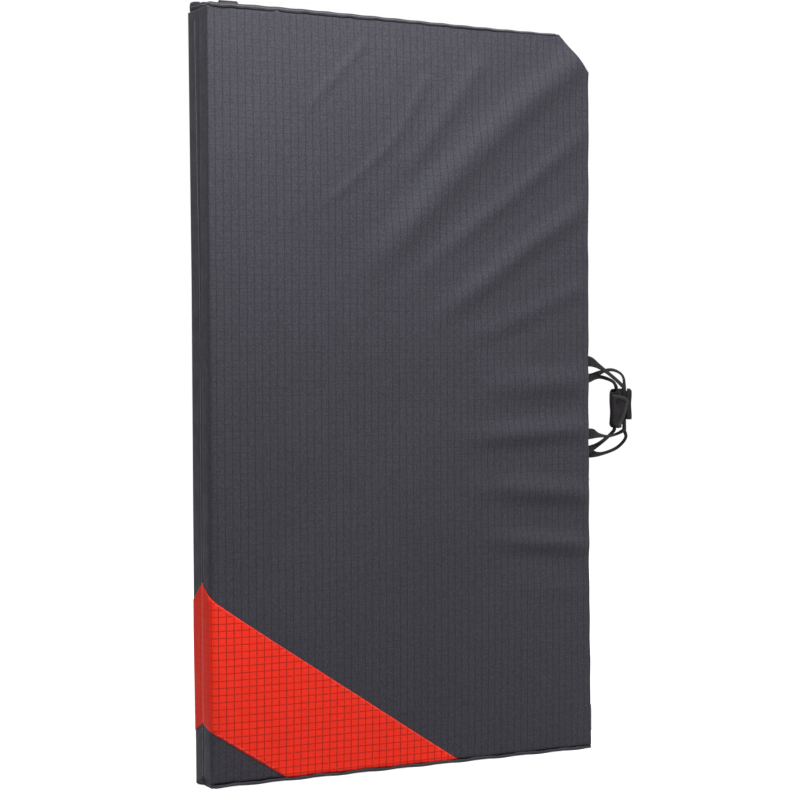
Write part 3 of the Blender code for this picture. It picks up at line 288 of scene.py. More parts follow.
class Shading(Nodes):
    """A material under construction."""

    def __init__(self, name, base, roughness, metallic=0.0, gloss=0.5):
        self.material = bpy.data.materials.new(name)
        self.material.use_nodes = True
        super().__init__(self.material.node_tree)
        self.inputs = self.tree.nodes["Principled BSDF"].inputs
        self.inputs["Base Color"].default_value = (*base, 1.0)
        self.inputs["Roughness"].default_value = roughness
        self.inputs["Metallic"].default_value = metallic
        self.inputs["Specular IOR Level"].default_value = gloss
        self.material.diffuse_color = (*base, 1.0)
        self.places = self.add("ShaderNodeTexCoord").outputs

    def noise(self, scale, detail=3.0, rough=0.5):
        node = self.add("ShaderNodeTexNoise")
        for key, value in (("Scale", scale), ("Detail", detail), ("Roughness", rough)):
            node.inputs[key].default_value = value
        self.join(self.places["Object"], node.inputs["Vector"])
        return node.outputs["Fac"]

    def grain(self, side):
        """A value of its own, from 0 to 1, for each small cube."""
        cubes = self.add("ShaderNodeVectorMath", operation="SNAP")
        cubes.inputs[1].default_value = (side, side, side)
        self.join(self.places["Object"], cubes.inputs[0])
        node = self.add("ShaderNodeTexWhiteNoise", noise_dimensions="3D")
        self.join(cubes.outputs[0], node.inputs["Vector"])
        return node.outputs["Value"]

    def give(self, value, socket):
        """Joins a value to a socket, or sets a constant colour on it."""
        if isinstance(value, bpy.types.NodeSocket):
            self.join(value, socket)
        else:
            socket.default_value = (*value, 1.0)

    def mix(self, factor, first, second):
        node = self.add("ShaderNodeMix", data_type="RGBA")
        self.give(first, node.inputs[6])
        self.give(second, node.inputs[7])
        self.join(factor, node.inputs[0])
        return node.outputs[2]

    def brighten(self, value, amount, base):
        """The base colour, lighter or darker by up to the amount as the value runs 0 to 1."""
        node = self.add("ShaderNodeHueSaturation")
        self.join(self.spread(value, 0.25, 0.75, 1 - amount, 1 + amount), node.inputs["Value"])
        self.give(base, node.inputs["Color"])
        return node.outputs[0]

    def paint(self, value):
        self.join(value, self.inputs["Base Color"])

    def rough(self, value, low, high):
        self.join(self.spread(value, 0.3, 0.7, low, high), self.inputs["Roughness"])

    def bump(self, height, distance, strength=1.0):
        node = self.add("ShaderNodeBump")
        node.inputs["Distance"].default_value = distance
        node.inputs["Strength"].default_value = strength
        self.join(height, node.inputs["Height"])
        before = self.inputs["Normal"]
        if before.is_linked:
            self.join(before.links[0].from_socket, node.inputs["Normal"])
        self.join(node.outputs[0], before)

    def across(self):
        """The two coordinates of the piece's own map, in metres over the flat cloth."""
        node = self.add("ShaderNodeSeparateXYZ")
        self.join(self.places["UV"], node.inputs[0])
        return node.outputs[0], node.outputs[1]

    def lines(self, place, pitch, width):
        """1 on evenly spaced lines and 0 between them."""
        part = self.math("FRACT", self.math("DIVIDE", place, pitch))
        beside = self.math("ABSOLUTE", self.math("SUBTRACT", part, 0.5))
        return self.spread(beside, 0.5 - width / pitch, 0.5 - width / pitch / 4)

    def wave(self, place, pitch):
        """A smooth ripple of the pitch, from 0 to 1."""
        turns = self.math("MULTIPLY", place, 2 * math.pi / pitch)
        return self.math("MULTIPLY_ADD", self.math("SINE", turns), 0.5, 0.5)


def ripstop(name, base, line, strength_across, strength_up, speckle):
    """Coated cloth with a grid of thicker threads, and the fine speckle of its weave."""
    made = Shading(name, base, 0.62, gloss=0.08)
    u, v = made.across()
    upright = made.lines(u, trim().grid_pitch, trim().grid_line)
    level_lines = made.lines(v, trim().grid_pitch * 0.88, trim().grid_line)
    grid = made.math("MAXIMUM", made.math("MULTIPLY", upright, strength_across),
                     made.math("MULTIPLY", level_lines, strength_up))
    for fade in (made.spread(made.noise(420.0, 2.0), 0.35, 0.6, 0.62, 1.0),
                 made.spread(u, -0.004, 0.003, 0.22, 1.0)):
        grid = made.math("MULTIPLY", grid, fade)
    wear = made.noise(60.0, 5.0, 0.65)
    shade = made.brighten(made.grain(0.0012), speckle, base)
    shade = made.brighten(made.noise(5.0, 4.0), 0.05, shade)
    shade = made.brighten(wear, 0.04, shade)
    made.paint(made.mix(grid, shade, line))
    made.rough(wear, 0.54, 0.70)
    made.bump(made.math("ADD", made.wave(u, 0.0011), made.wave(v, 0.0011)), 0.00006, 0.5)
    made.bump(made.math("MAXIMUM", upright, level_lines), 0.0002, 0.6)
    made.bump(made.noise(180.0, 4.0), 0.0003, 0.12)
    return made.material


def woven(name, base, pitch, rise, roughness=0.82):
    """Webbing: ribs across it and rows of warp threads between its selvedges, with a painted
    highlight on the ribs' tops and painted shade in the hollows between them.
    """
    made = Shading(name, base, roughness, gloss=0.10)
    u, v = made.across()
    cell = made.math("MULTIPLY", made.wave(u, pitch), made.wave(v, pitch * 1.4))
    shade = made.brighten(made.noise(900.0, 3.0), 0.22, base)
    # Painted light and shade: the raised ribs are painted lighter and the hollows between them
    # darker, in step with the bump below.
    shade = made.brighten(cell, 0.30, shade)
    made.paint(made.brighten(made.noise(20.0, 3.0), 0.10, shade))
    made.rough(made.noise(40.0), roughness - 0.08, roughness + 0.06)
    made.bump(cell, rise, 0.9)
    made.bump(made.noise(1500.0, 2.0), rise * 0.5, 0.4)
    return made.material


def plain_cloth(name, base, scale, rise):
    made = Shading(name, base, 0.85, gloss=0.10)
    shade = made.brighten(made.noise(scale, 4.0, 0.6), 0.28, base)
    made.paint(made.brighten(made.noise(14.0, 3.0), 0.12, shade))
    made.bump(made.noise(scale, 4.0, 0.65), rise, 0.8)
    made.rough(made.noise(50.0), 0.78, 0.92)
    return made.material


def thread(name, base):
    made = Shading(name, base, 0.6)
    made.paint(made.brighten(made.noise(700.0, 2.0), 0.15, base))
    made.bump(made.noise(2200.0, 2.0), 0.0001, 0.5)
    return made.material


def moulded(name, base):
    made = Shading(name, base, 0.42)
    made.paint(made.brighten(made.noise(35.0, 4.0), 0.15, base))
    made.rough(made.noise(120.0, 5.0, 0.7), 0.34, 0.52)
    made.bump(made.noise(1400.0, 3.0), 0.00006, 0.5)
    return made.material


def coated_metal(name, base):
    made = Shading(name, base, 0.38, metallic=1.0)
    wear = made.spread(made.noise(260.0, 5.0, 0.7), 0.60, 0.72)
    made.paint(made.mix(wear, base, tuple(2.2 * value for value in base)))
    made.rough(made.noise(180.0, 4.0), 0.30, 0.50)
    made.bump(made.noise(800.0, 3.0), 0.00005, 0.5)
    return made.material


def foam(name, base, cell, rise):
    made = Shading(name, base, 0.95)
    pores = made.add("ShaderNodeTexVoronoi")
    pores.inputs["Scale"].default_value = cell
    made.join(made.places["Object"], pores.inputs["Vector"])
    # Painted shade: the pits of the pores are painted darker and the walls between them lighter, in
    # step with the bump below.
    made.paint(made.brighten(pores.outputs["Distance"], 0.35, base))
    made.bump(pores.outputs["Distance"], rise, 0.8)
    return made.material


def make_finishes():
    """The materials, by the names that the pieces use for them."""
    look = bpy.context.scene.pad_finish
    return {
        "charcoal_cloth": ripstop("charcoal_ripstop", look.charcoal, look.charcoal_line,
                                  0.74, 0.17, 0.17),
        "red_cloth": ripstop("red_ripstop", look.red, look.red_line, 0.84, 0.68, 0.02),
        "piping": plain_cloth("seam_cord", look.charcoal, 1200.0, 0.0002),
        "stitch": thread("grey_thread", look.stitch),
        "red_stitch": thread("red_thread", look.red_stitch),
        "seam_stitch": thread("seam_thread", look.seam_stitch),
        "webbing": woven("black_webbing", look.webbing, 0.0016, 0.0002),
        "wrap_cloth": plain_cloth("wrap_felt", look.wrap, 1500.0, 0.0003),
        "binding": woven("wrap_binding", look.binding, 0.0012, 0.00015),
        "strap_cloth": woven("heavy_cloth", look.strap, 0.0012, 0.00012, 0.78),
        "buckle_plastic": moulded("moulded_black", look.plastic),
        "zip_metal": coated_metal("dark_zinc", look.metal),
        "zip_tape": woven("zip_tape", look.tape, 0.0009, 0.0001),
        "landing_foam": foam("closed_cell_foam", look.landing, 900.0, 0.0002),
        "core_foam": foam("open_cell_foam", look.core, 420.0, 0.0006),
    }


# Making pieces

def to_world(points):
    return np.asarray(points, float) + ORIGIN


def link(name, data):
    made = bpy.data.objects.new(name, data)
    bpy.context.scene.collection.objects.link(made)
    return made


def new_piece(name, points, faces, material, uv=None):
    """A closed mesh from points in pad coordinates, its faces turned outward. uv holds one pair
    for each face corner."""
    mesh = bpy.data.meshes.new(name)
    mesh.from_pydata(to_world(points).tolist(), [], [tuple(map(int, face)) for face in faces])
    if uv is not None:
        layer = mesh.uv_layers.new(name="UVMap")
        layer.data.foreach_set("uv", np.asarray(uv, np.float32).ravel())
    mesh.materials.append(FINISHES[material])
    mesh.shade_smooth()
    bm = bmesh.new()
    bm.from_mesh(mesh)
    bmesh.ops.recalc_face_normals(bm, faces=bm.faces)
    bm.to_mesh(mesh)
    bm.free()
    return link(name, mesh)


def settle(piece, body, slot, *nodes):
    """Hangs a finished piece on its body, in the place of the solids that it stands for."""
    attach(piece, body)
    if nodes:
        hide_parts(*nodes)


def smooth_route(rows, steps):
    """Values on a smooth curve through the rows, with steps stations between two rows."""
    rows = np.array(rows, float)
    ends = np.vstack([2 * rows[0] - rows[1], rows, 2 * rows[-1] - rows[-2]])
    made = []
    for a, b, c, d in zip(ends, ends[1:], ends[2:], ends[3:]):
        for t in np.linspace(0, 1, steps, endpoint=False):
            lean, bend = 2 * a - 5 * b + 4 * c - d, 3 * b - a - 3 * c + d
            made.append((2 * b + (c - a) * t + lean * t**2 + bend * t**3) / 2)
    return made + [rows[-1]]


def arc_points(centre, radius, start, end, steps):
    angles = np.radians(np.linspace(start, end, steps + 1))
    return [(centre[0] + radius * math.cos(a), centre[1] + radius * math.sin(a)) for a in angles]


def between(*loops):
    """Quads between each closed loop of point numbers and the next."""
    return np.concatenate([np.stack([a, np.roll(a, -1), np.roll(b, -1), b], -1)
                           for a, b in zip(loops, loops[1:])])


def tube_faces(rings, count):
    """Faces of a closed tube through rings with the same number of points."""
    loops = np.arange(rings * count).reshape(rings, count)
    return [*between(*loops).tolist(), loops[0][::-1].tolist(), loops[-1].tolist()]


def grid_faces(cell):
    """Quads of a grid of point numbers, and the loop round its rim."""
    quads = np.stack([cell[:-1, :-1], cell[1:, :-1], cell[1:, 1:], cell[:-1, 1:]], -1)
    rim = [cell[0, :], cell[1:, -1], cell[-1, -2::-1], cell[-2:0:-1, 0]]
    return quads.reshape(-1, 4), np.concatenate(rim)


def ribbon(name, rows, ply, material="webbing", edge_steps=5, flat_steps=6):
    """Webbing along rows of (x, y, z, width, way of the width), with rounded selvedges."""
    rows = np.array(rows, float)
    places, side = rows[:, :3], rows[:, 4:7]
    ahead = np.concatenate([places[1:2] - places[:1], places[2:] - places[:-2],
                            places[-1:] - places[-2:-1]])
    ahead /= np.linalg.norm(ahead, axis=1)[:, None]
    side = side - (side * ahead).sum(1)[:, None] * ahead
    side /= np.linalg.norm(side, axis=1)[:, None]
    out = np.cross(side, ahead)
    run = np.concatenate([[0], np.cumsum(np.linalg.norm(np.diff(places, axis=0), axis=1))])
    radius = ply / 2
    bends = np.linspace(0, math.pi, edge_steps + 1)[1:-1]
    points, flat = [], []
    for i, width in enumerate(rows[:, 3]):
        half = width / 2 - radius
        section = [(x, -radius) for x in np.linspace(-half, half, flat_steps + 1)]
        section += [(half + radius * math.sin(a), -radius * math.cos(a)) for a in bends]
        section += [(x, radius) for x in np.linspace(half, -half, flat_steps + 1)]
        section += [(-half - radius * math.sin(a), radius * math.cos(a)) for a in bends]
        points += [places[i] + side[i] * across + out[i] * rise for across, rise in section]
        flat += [(across, run[i]) for across, _ in section]
    faces = tube_faces(len(rows), len(section))
    return new_piece(name, points, faces, material, [flat[i] for face in faces for i in face])


def tube(name, rings, material):
    """A closed soft cord through oval rings of (centre, first half axis, second half axis)."""
    turns = np.linspace(0, 2 * math.pi, 12, endpoint=False)[:, None]
    points = [centre + np.cos(turns) * np.array(first) + np.sin(turns) * np.array(second)
              for centre, first, second in rings]
    return new_piece(name, np.concatenate(points), tube_faces(len(rings), 12), material)


def shell(name, grid, ply, material):
    """A closed sheet of cloth with rounded edges round a grid of points on its middle surface."""
    grid = np.asarray(grid, float)
    normal = np.cross(np.gradient(grid, axis=0), np.gradient(grid, axis=1))
    normal /= np.linalg.norm(normal, axis=2)[..., None]
    rows, columns = grid.shape[:2]
    pulled = grid.copy()
    for flat, moved in ((grid, pulled), (grid.swapaxes(0, 1), pulled.swapaxes(0, 1))):
        for rim, beside in ((0, 1), (-1, -2)):
            way = flat[beside] - flat[rim]
            moved[rim] += way / np.linalg.norm(way, axis=1)[:, None] * ply * 0.35
    quads, rim = grid_faces(np.arange(rows * columns).reshape(rows, columns))
    count = rows * columns
    faces = np.concatenate([quads, quads[:, ::-1] + count,
                            between(rim, 2 * count + np.arange(len(rim)), count + rim)])
    runs = [np.concatenate([[0], np.cumsum(np.linalg.norm(np.diff(line, axis=0), axis=1))])
            for line in (grid[rows // 2], grid[:, columns // 2])]
    flat = np.stack(np.meshgrid(*runs), -1).reshape(-1, 2)
    flat = np.concatenate([flat, flat, flat[rim]])
    lift = normal * ply / 2
    points = np.concatenate([(pulled + lift).reshape(-1, 3), (pulled - lift).reshape(-1, 3),
                             grid.reshape(-1, 3)[rim]])
    return new_piece(name, points, faces, material, flat[faces].reshape(-1, 2))


def build_row_tree():
    """Geometry Nodes: one small rounded piece after another along a path."""
    tree = bpy.data.node_groups.new("row_of_pieces", "GeometryNodeTree")
    for name, kind in (("Path", "Geometry"), ("Pitch", "Float"), ("Size", "Vector"),
                       ("Facing", "Vector"), ("Finish", "Material")):
        tree.interface.new_socket(name, in_out="INPUT", socket_type="NodeSocket" + kind)
    tree.interface.new_socket("Pieces", in_out="OUTPUT", socket_type="NodeSocketGeometry")
    add = Nodes(tree).add
    source, sink = add("NodeGroupInput").outputs, add("NodeGroupOutput")
    to_curve = add("GeometryNodeMeshToCurve")
    resample = add("GeometryNodeResampleCurve", mode="LENGTH")
    ball = add("GeometryNodeMeshIcoSphere")
    ball.inputs["Radius"].default_value = 0.5
    scatter = add("GeometryNodeInstanceOnPoints")
    tangent = add("GeometryNodeInputTangent")
    along = add("FunctionNodeAlignRotationToVector", axis="X")
    facing = add("FunctionNodeAlignRotationToVector", axis="Z", pivot_axis="X")
    realize, coat = add("GeometryNodeRealizeInstances"), add("GeometryNodeSetMaterial")
    shade = add("GeometryNodeSetShadeSmooth")
    for output, node, socket in (
            (source["Path"], to_curve, 0), (to_curve.outputs[0], resample, "Curve"),
            (source["Pitch"], resample, "Length"), (resample.outputs[0], scatter, "Points"),
            (ball.outputs["Mesh"], scatter, "Instance"),
            (tangent.outputs[0], along, "Vector"), (along.outputs[0], facing, "Rotation"),
            (source["Facing"], facing, "Vector"), (facing.outputs[0], scatter, "Rotation"),
            (source["Size"], scatter, "Scale"), (scatter.outputs[0], realize, 0),
            (realize.outputs[0], shade, 0), (shade.outputs[0], coat, "Geometry"),
            (source["Finish"], coat, "Material"), (coat.outputs[0], sink, 0)):
        tree.links.new(output, node.inputs[socket])
    return tree


def row_of_pieces(name, paths, pitch, dimensions, facing, material):
    """Stitches or teeth along open paths of points in pad coordinates, as a plain mesh."""
    tree = bpy.data.node_groups.get("row_of_pieces") or build_row_tree()
    points, edges = [], []
    for path in paths:
        edges += [(len(points) + i, len(points) + i + 1) for i in range(len(path) - 1)]
        points += to_world(path).tolist()
    mesh = bpy.data.meshes.new(name)
    mesh.from_pydata(points, edges, [])
    holder = link(name + "_path", mesh)
    nodes = holder.modifiers.new("row", "NODES")
    nodes.node_group = tree
    values = {"Pitch": pitch, "Size": dimensions, "Facing": facing,
              "Finish": FINISHES[material]}
    for socket in tree.interface.items_tree:
        if socket.in_out == "INPUT" and socket.name in values:
            nodes[socket.identifier] = values[socket.name]
    graph = bpy.context.evaluated_depsgraph_get()
    result = bpy.data.meshes.new_from_object(holder.evaluated_get(graph))
    result.name = name
    bpy.data.objects.remove(holder)
    return link(name, result)


def stitches(name, paths, facing, body, material="stitch", slot="piping"):
    look = trim()
    dimensions = (look.stitch_length, look.stitch_width, look.stitch_width * 0.7)
    made = row_of_pieces(name, paths, look.stitch_pitch, dimensions, facing, material)
    settle(made, body, slot)


# Covers

# Folds of the outer face: points (x, z) along each crest, its spread, its height as a share of a
# full fold, and how far from its left end it takes to reach that height
FOLDS = (
    (((0.19, 0.632), (0.284, 0.724), (0.353, 0.794), (0.42, 0.856), (0.491, 0.916), (0.60, 0.993)),
     0.024, 1.05, 0.30),
    (((0.27, 0.635), (0.37, 0.717), (0.45, 0.775), (0.54, 0.843), (0.60, 0.885)),
     0.0135, 0.56, 0.40),
    (((0.30, 0.585), (0.40, 0.652), (0.462, 0.697), (0.54, 0.745), (0.60, 0.780)),
     0.0165, 0.85, 0.35),
    (((0.35, 0.562), (0.458, 0.606), (0.54, 0.640), (0.60, 0.662)), 0.0145, 0.50, 0.4),
    (((0.36, 0.508), (0.457, 0.513), (0.60, 0.520)), 0.020, 0.85, 0.6),
    (((0.32, 0.438), (0.44, 0.445), (0.60, 0.453)), 0.0155, 0.92, 0.55),
    (((0.35, 0.375), (0.456, 0.369), (0.60, 0.358)), 0.016, 0.95, 0.55),
    (((0.37, 0.306), (0.456, 0.297), (0.60, 0.285)), 0.014, 0.90, 0.55),
    (((0.42, 0.235), (0.60, 0.222)), 0.014, 0.25, 0.7),
    (((0.130, 0.866), (0.165, 0.905), (0.222, 0.965)), 0.0060, 0.26, 0.25),
    (((0.140, 0.734), (0.238, 0.814), (0.278, 0.860), (0.314, 0.924)), 0.0070, 0.28, 0.25),
    (((0.270, 0.780), (0.335, 0.865), (0.395, 0.945)), 0.013, 0.36, 0.3),
)
# How far the rear cover stands out beside the fold, as (height, share of the swell)
BULGE = ((0.0, -0.37), (0.05, -0.33), (0.20, 0.21), (0.65, 0.28), (0.93, 0.86), (1.0, 1.0))
# Heights of the mesh's rows beside the end seams, where it is finer
CLOSE_ROWS = (0.0, 0.0012, 0.0024, 0.0036, 0.0050, 0.0070, 0.0100)
# Bands of faces round a slab's outer edge, down its side and round its inner edge
OUTER_BANDS, SIDE_BANDS, INNER_BANDS = 4, 5, 3
FOAM_GRID, FOAM_INSET = 0.02, 0.0034


def ease(value):
    value = np.clip(value, 0, 1)
    return value * value * (3 - 2 * value)


def bell(value):
    return np.exp(-(value**2))


def crown_at(x, z):
    """How far the outer face stands proud of its edges."""
    across, along = 2 * x / cover().width - 1, 2 * z / cover().height - 1
    return cover().crown * np.maximum(0, 1 - across**4) * np.maximum(0, 1 - along**4)


def polyline_reach(x, z, crest):
    """Distance from each point to a polyline, and the share of its length to the nearest place."""
    best, along = np.full(x.shape, 9.0), np.zeros(x.shape)
    lengths = np.linalg.norm(np.diff(crest, axis=0), axis=1)
    done = 0.0
    for (ax, az), (bx, bz), length in zip(crest[:-1], crest[1:], lengths):
        t = np.clip(((x - ax) * (bx - ax) + (z - az) * (bz - az)) / length**2, 0, 1)
        gap = np.hypot(x - ax - t * (bx - ax), z - az - t * (bz - az))
        nearer = gap < best
        best = np.where(nearer, gap, best)
        along = np.where(nearer, (done + t * length) / lengths.sum(), along)
        done += length
    return best, along


def under_harness(x, z):
    """1 where the harness lies on the rear face, falling to 0 round it."""
    across = ease((x - 0.045) / 0.03) * ease((0.535 - x) / 0.03)
    return across * ease((z - 0.135) / 0.03) * ease((0.870 - z) / 0.03)


def folds_at(x, z, strength):
    """Height of the cloth's folds over the crowned face."""
    height = np.zeros(x.shape)
    for crest, spread, rise, reach in FOLDS:
        gap, along = polyline_reach(x, z, np.array(smooth_route(crest, 4)))
        crease = bell(gap / spread) - 0.30 * bell(gap / spread / 2)
        height += strength * rise * ease(along / reach) * crease
    height += 0.10 * np.sin(9 * x + 4 * z + 1) * np.sin(7 * z - 5 * x)
    height += 0.05 * np.sin(31 * x - 17 * z) * np.sin(23 * z)
    if strength < 1:
        height *= 1 - under_harness(x, z)
    return cover().fold_height * height


def padded_slab(inset, near, far, pitch, edge, hinge_edge, inner, slack=0.0, close=1):
    """Points and faces of a slab with a cut corner that faces +Y: a grid over each face and rings
    round the side. Each point has a share of the folds, 1 on the outer face and 0 on the side."""
    c = cover()
    fine = np.array(CLOSE_ROWS[:close]) / c.height
    middle = np.linspace(fine[-1], 1 - fine[-1], round(c.height / pitch) + 1)
    s, t = np.meshgrid(np.linspace(0, 1, round(c.width / pitch) + 1),
                       np.concatenate([fine[:-1], middle, 1 - fine[:-1][::-1]]), indexing="ij")

    def hinge_radius(t):
        """Radius of the fold side's outer edge: crisp near the top and slack lower down."""
        return hinge_edge + slack * ease((0.85 - t) / 0.45) * ease(t / 0.04)

    def place(s, t, share, pull=0.0):
        """x and z at shares of the way across and up, drawn in by a share of the rounding."""
        other = inset + edge * share + pull
        left = c.setback + inset + hinge_radius(t) * share + pull
        x = left + (c.width - other - left) * s
        slant = c.width + c.height - c.corner_cut - other * math.sqrt(2)
        head = np.minimum(c.height - other, slant - x)
        return x, other + (head - other) * t

    def add(places, y, share):
        x, z = places
        layers.append(np.stack([x, np.broadcast_to(y, x.shape), z], -1).reshape(-1, 3))
        shares.append(np.full(x.size, share))

    layers, shares = [], []
    quads, rim = grid_faces(np.arange(s.size).reshape(s.shape).T)
    rim_s, rim_t = s.reshape(-1)[rim], t.reshape(-1)[rim]

    def side_radius(x):
        hinge = hinge_radius(rim_t)
        return hinge + (edge - hinge) * ease(x / 0.03)

    add(place(s, t, 1.0), far, 1.0)
    for turn in np.linspace(0, math.pi / 2, OUTER_BANDS + 1)[1:]:
        places = place(rim_s, rim_t, 1 - math.sin(turn))
        add(places, far - side_radius(places[0]) * (1 - math.cos(turn)), math.cos(turn))
    places = place(rim_s, rim_t, 0.0)
    top, low = far - side_radius(places[0]), near + inner
    for down in np.linspace(0, 1, SIDE_BANDS + 1)[1:]:
        add(places, top + (low - top) * down, 0.0)
    for turn in np.linspace(0, math.pi / 2, INNER_BANDS + 1)[1:-1]:
        add(place(rim_s, rim_t, 0.0, inner * (1 - math.cos(turn))),
            low - inner * math.sin(turn), 0.0)
    add(place(s, t, 0.0, inner), near, 0.0)
    base = sum(map(len, layers[:-1]))
    loops = np.arange(s.size, base).reshape(-1, len(rim))
    faces = np.concatenate([quads, between(rim, *loops, base + rim), quads[:, ::-1] + base])
    return np.concatenate(layers), faces, np.concatenate(shares)


def flat_map(points, faces, far):
    """A map in metres over the flat cloth: the sides are folded out round the outer face."""
    corners = points[faces]
    normal = np.cross(corners[:, 2] - corners[:, 0], corners[:, 3] - corners[:, 1])
    across, out, up = np.abs(normal).T
    u, v = corners[..., 0].copy(), corners[..., 2].copy()
    depth = far - np.abs(corners[..., 1])
    for flat, chosen, axis, middle in (
            (u, (across > out) & (across > up), 0, cover().width / 2),
            (v, (up > out) & (up > across), 2, cover().height / 2)):
        beyond = np.sign(corners[chosen][:, :, axis].mean(1) - middle)
        flat[chosen] += beyond[:, None] * depth[chosen]
    return np.stack([u, v], -1).reshape(-1, 2)


def bulge_at(side, x, y, z):
    """How far the rear cover stands out beside the fold: pinched at the foot, full at the top."""
    if side < 0:
        return 0.0
    beside = ease((0.035 - np.asarray(x)) / 0.035)
    level_share = np.interp(z, *zip(*BULGE))
    return cover().swell * level_share * beside * np.clip((np.asarray(y) - 0.008) / 0.018, 0, 1)


def turn_side(points, faces, uv, side):
    """Turns a slab that faces +Y to the front, or leaves it at the rear."""
    if side > 0:
        return points, faces, uv
    return points * (1.0, side, 1.0), faces[:, ::-1], uv.reshape(-1, 4, 2)[:, ::-1].reshape(-1, 2)


def cover_surface(side, strength):
    """Points, faces and map of one panel's cover: crowned, folded and pressed in at its seams."""
    c = cover()
    points, faces, shares = padded_slab(
        0.0, c.seat / 2, c.depth, c.grid, c.edge_round, c.hinge_round, c.inner_round,
        c.hinge_slack if side < 0 else 0.0, len(CLOSE_ROWS))
    uv = flat_map(points, faces, c.depth)
    x, y, z = points.T
    by_fold, by_edge = ease((x - c.setback) / 0.03), ease((c.width - x) / 0.03)
    wobble = 0.0005 * np.sin(x * 90) + 0.0004 * np.sin(x * 231 + 1)
    points[:, 1] += (crown_at(x, z) * np.clip((y - c.seat) / c.depth, 0, 1)
                     + folds_at(x, z, strength) * shares
                     * (0.25 + 0.75 * by_fold) * (0.20 + 0.80 * by_edge)
                     - c.hem_depth * shares * bell((z - 0.0040 - wobble) / 0.0012)
                     + bulge_at(side, x, y, z))
    ripple = 0.0007 * np.sin(z * 47 + 2) * np.sin(z * 19) + 0.0004 * np.sin(z * 113)
    right = ease((x - c.width + 0.012) / 0.010) * ease((y - 0.019) / 0.008)
    concave = (z / c.height) * (1 - z / c.height) * 4
    wall = (1 - shares) * np.clip((y - 0.002) / 0.004, 0, 1)
    points[:, 0] += (right * (0.6 * ripple - c.draw_in * (1.2 * concave + 0.5))
                     - ease((0.010 - x) / 0.010) * wall * 0.0005)
    return turn_side(points, faces, uv, side)


def on_skin(label, start, way, lift):
    """A point over a finished cover, where the ray from the start meets it."""
    place, normal, _, _ = SKINS[label].ray_cast(Vector(start), Vector(way))
    if place is None:
        raise RuntimeError(f"no cover on the way from {start}")
    return place + normal * lift


def make_cover(label, side, body, strength):
    points, faces, uv = cover_surface(side, strength)
    SKINS[label] = BVHTree.FromPolygons(points.tolist(), faces.tolist())
    piece = new_piece(f"{label}_cover_cloth", points, faces, "charcoal_cloth", uv)
    settle(piece, body, "charcoal_cloth", f"{label}_cover")


def make_foams(label, side, body):
    """The slabs in the cover: closed-cell foam on the landing side and open-cell foam behind."""
    for kind, near, far, edge in (("landing_foam", 0.0018, 0.0125, 0.002),
                                  ("core_foam", 0.0131, cover().depth - 0.0040, 0.005)):
        points, faces, _ = padded_slab(FOAM_INSET, near, far, FOAM_GRID, edge, edge, 0.002)
        uv = flat_map(points, faces, far)
        if kind == "core_foam":
            x, y, z = points.T
            points[:, 1] += crown_at(x, z) * np.clip((y - near) / (far - near), 0, 1)
        points, faces, uv = turn_side(points, faces, uv, side)
        piece = new_piece(f"{label}_{kind}_slab", points, faces, kind, uv)
        settle(piece, body, kind, f"{label}_{kind}")


def make_band(label, side, body, strength):
    """The coloured cloth round the lower hinge corner, cut from the finished cover's surface."""
    t = trim()
    extra = t.rear_drop if side > 0 else 0.0
    cuts = []
    for height, reach, drop, keep in ((t.band_top, t.top_reach, t.top_drop, 1.0),
                                      (t.band_foot, t.foot_reach, t.foot_drop, -1.0)):
        slope = Vector((1 / reach, (drop + extra) / height / cover().depth, 1 / height))
        cuts.append(((0, 0, height), slope.normalized() * keep))
    cuts += [((0, 0, 0.0042), (0, 0, -1)), ((0, 0.0009, 0), (0, -1, 0))]
    points, faces, uv = cover_surface(side, strength)
    piece = new_piece(f"{label}_corner_band_cloth", points, faces, "red_cloth", uv)
    bm = bmesh.new()
    bm.from_mesh(piece.data)
    for place, normal in cuts:
        bmesh.ops.bisect_plane(bm, geom=bm.verts[:] + bm.edges[:] + bm.faces[:], clear_outer=True,
                               plane_co=Vector(to_world((place[0], place[1] * side, place[2]))),
                               plane_no=Vector((normal[0], normal[1] * side, normal[2])))
    bm.normal_update()
    for vert, place in [(v, v.co + v.normal * 0.0002) for v in bm.verts]:
        vert.co = place
    bm.to_mesh(piece.data)
    bm.free()
    wall = piece.modifiers.new("cloth", "SOLIDIFY")
    wall.thickness, wall.offset = t.band_lift, 1.0
    settle(piece, body, "red_cloth", f"{label}_corner_band")


# Seams

HEM_ROUND = 0.0030          # radius of a hem's path over the fold side's outer edge
HEM_DEEP = 0.0018           # half the depth of a top hem
SKIN_STEP = 0.004           # spacing of the places that are looked up on a finished cover
STITCH_LIFT = 0.0002        # height of a stitch's middle over webbing


def hem_route(side, reach, height):
    """Places and outward ways along a hem: over the wall beside the fold, then along the face."""
    corner = cover().depth - 0.0034
    route = [(0.0042, y, -1.0, 0.0) for y in np.linspace(0.0008, corner, 12)]
    for a in np.linspace(0.2, math.pi / 2, 6):
        out_x, out_y = -math.cos(a), math.sin(a)
        route.append((0.0072 + HEM_ROUND * out_x, corner + HEM_ROUND * out_y, out_x, out_y))
    route += [(x, corner + HEM_ROUND, 0.0, 1.0) for x in np.arange(0.0095, reach, 0.003)]
    for k, (x, y, out_x, out_y) in enumerate(route):
        place = np.array((x, side * y + float(bulge_at(side, x, y, height)), 0.0))
        yield k, min(k, len(route) - 1 - k), place, np.array((out_x, side * out_y, 0.0))


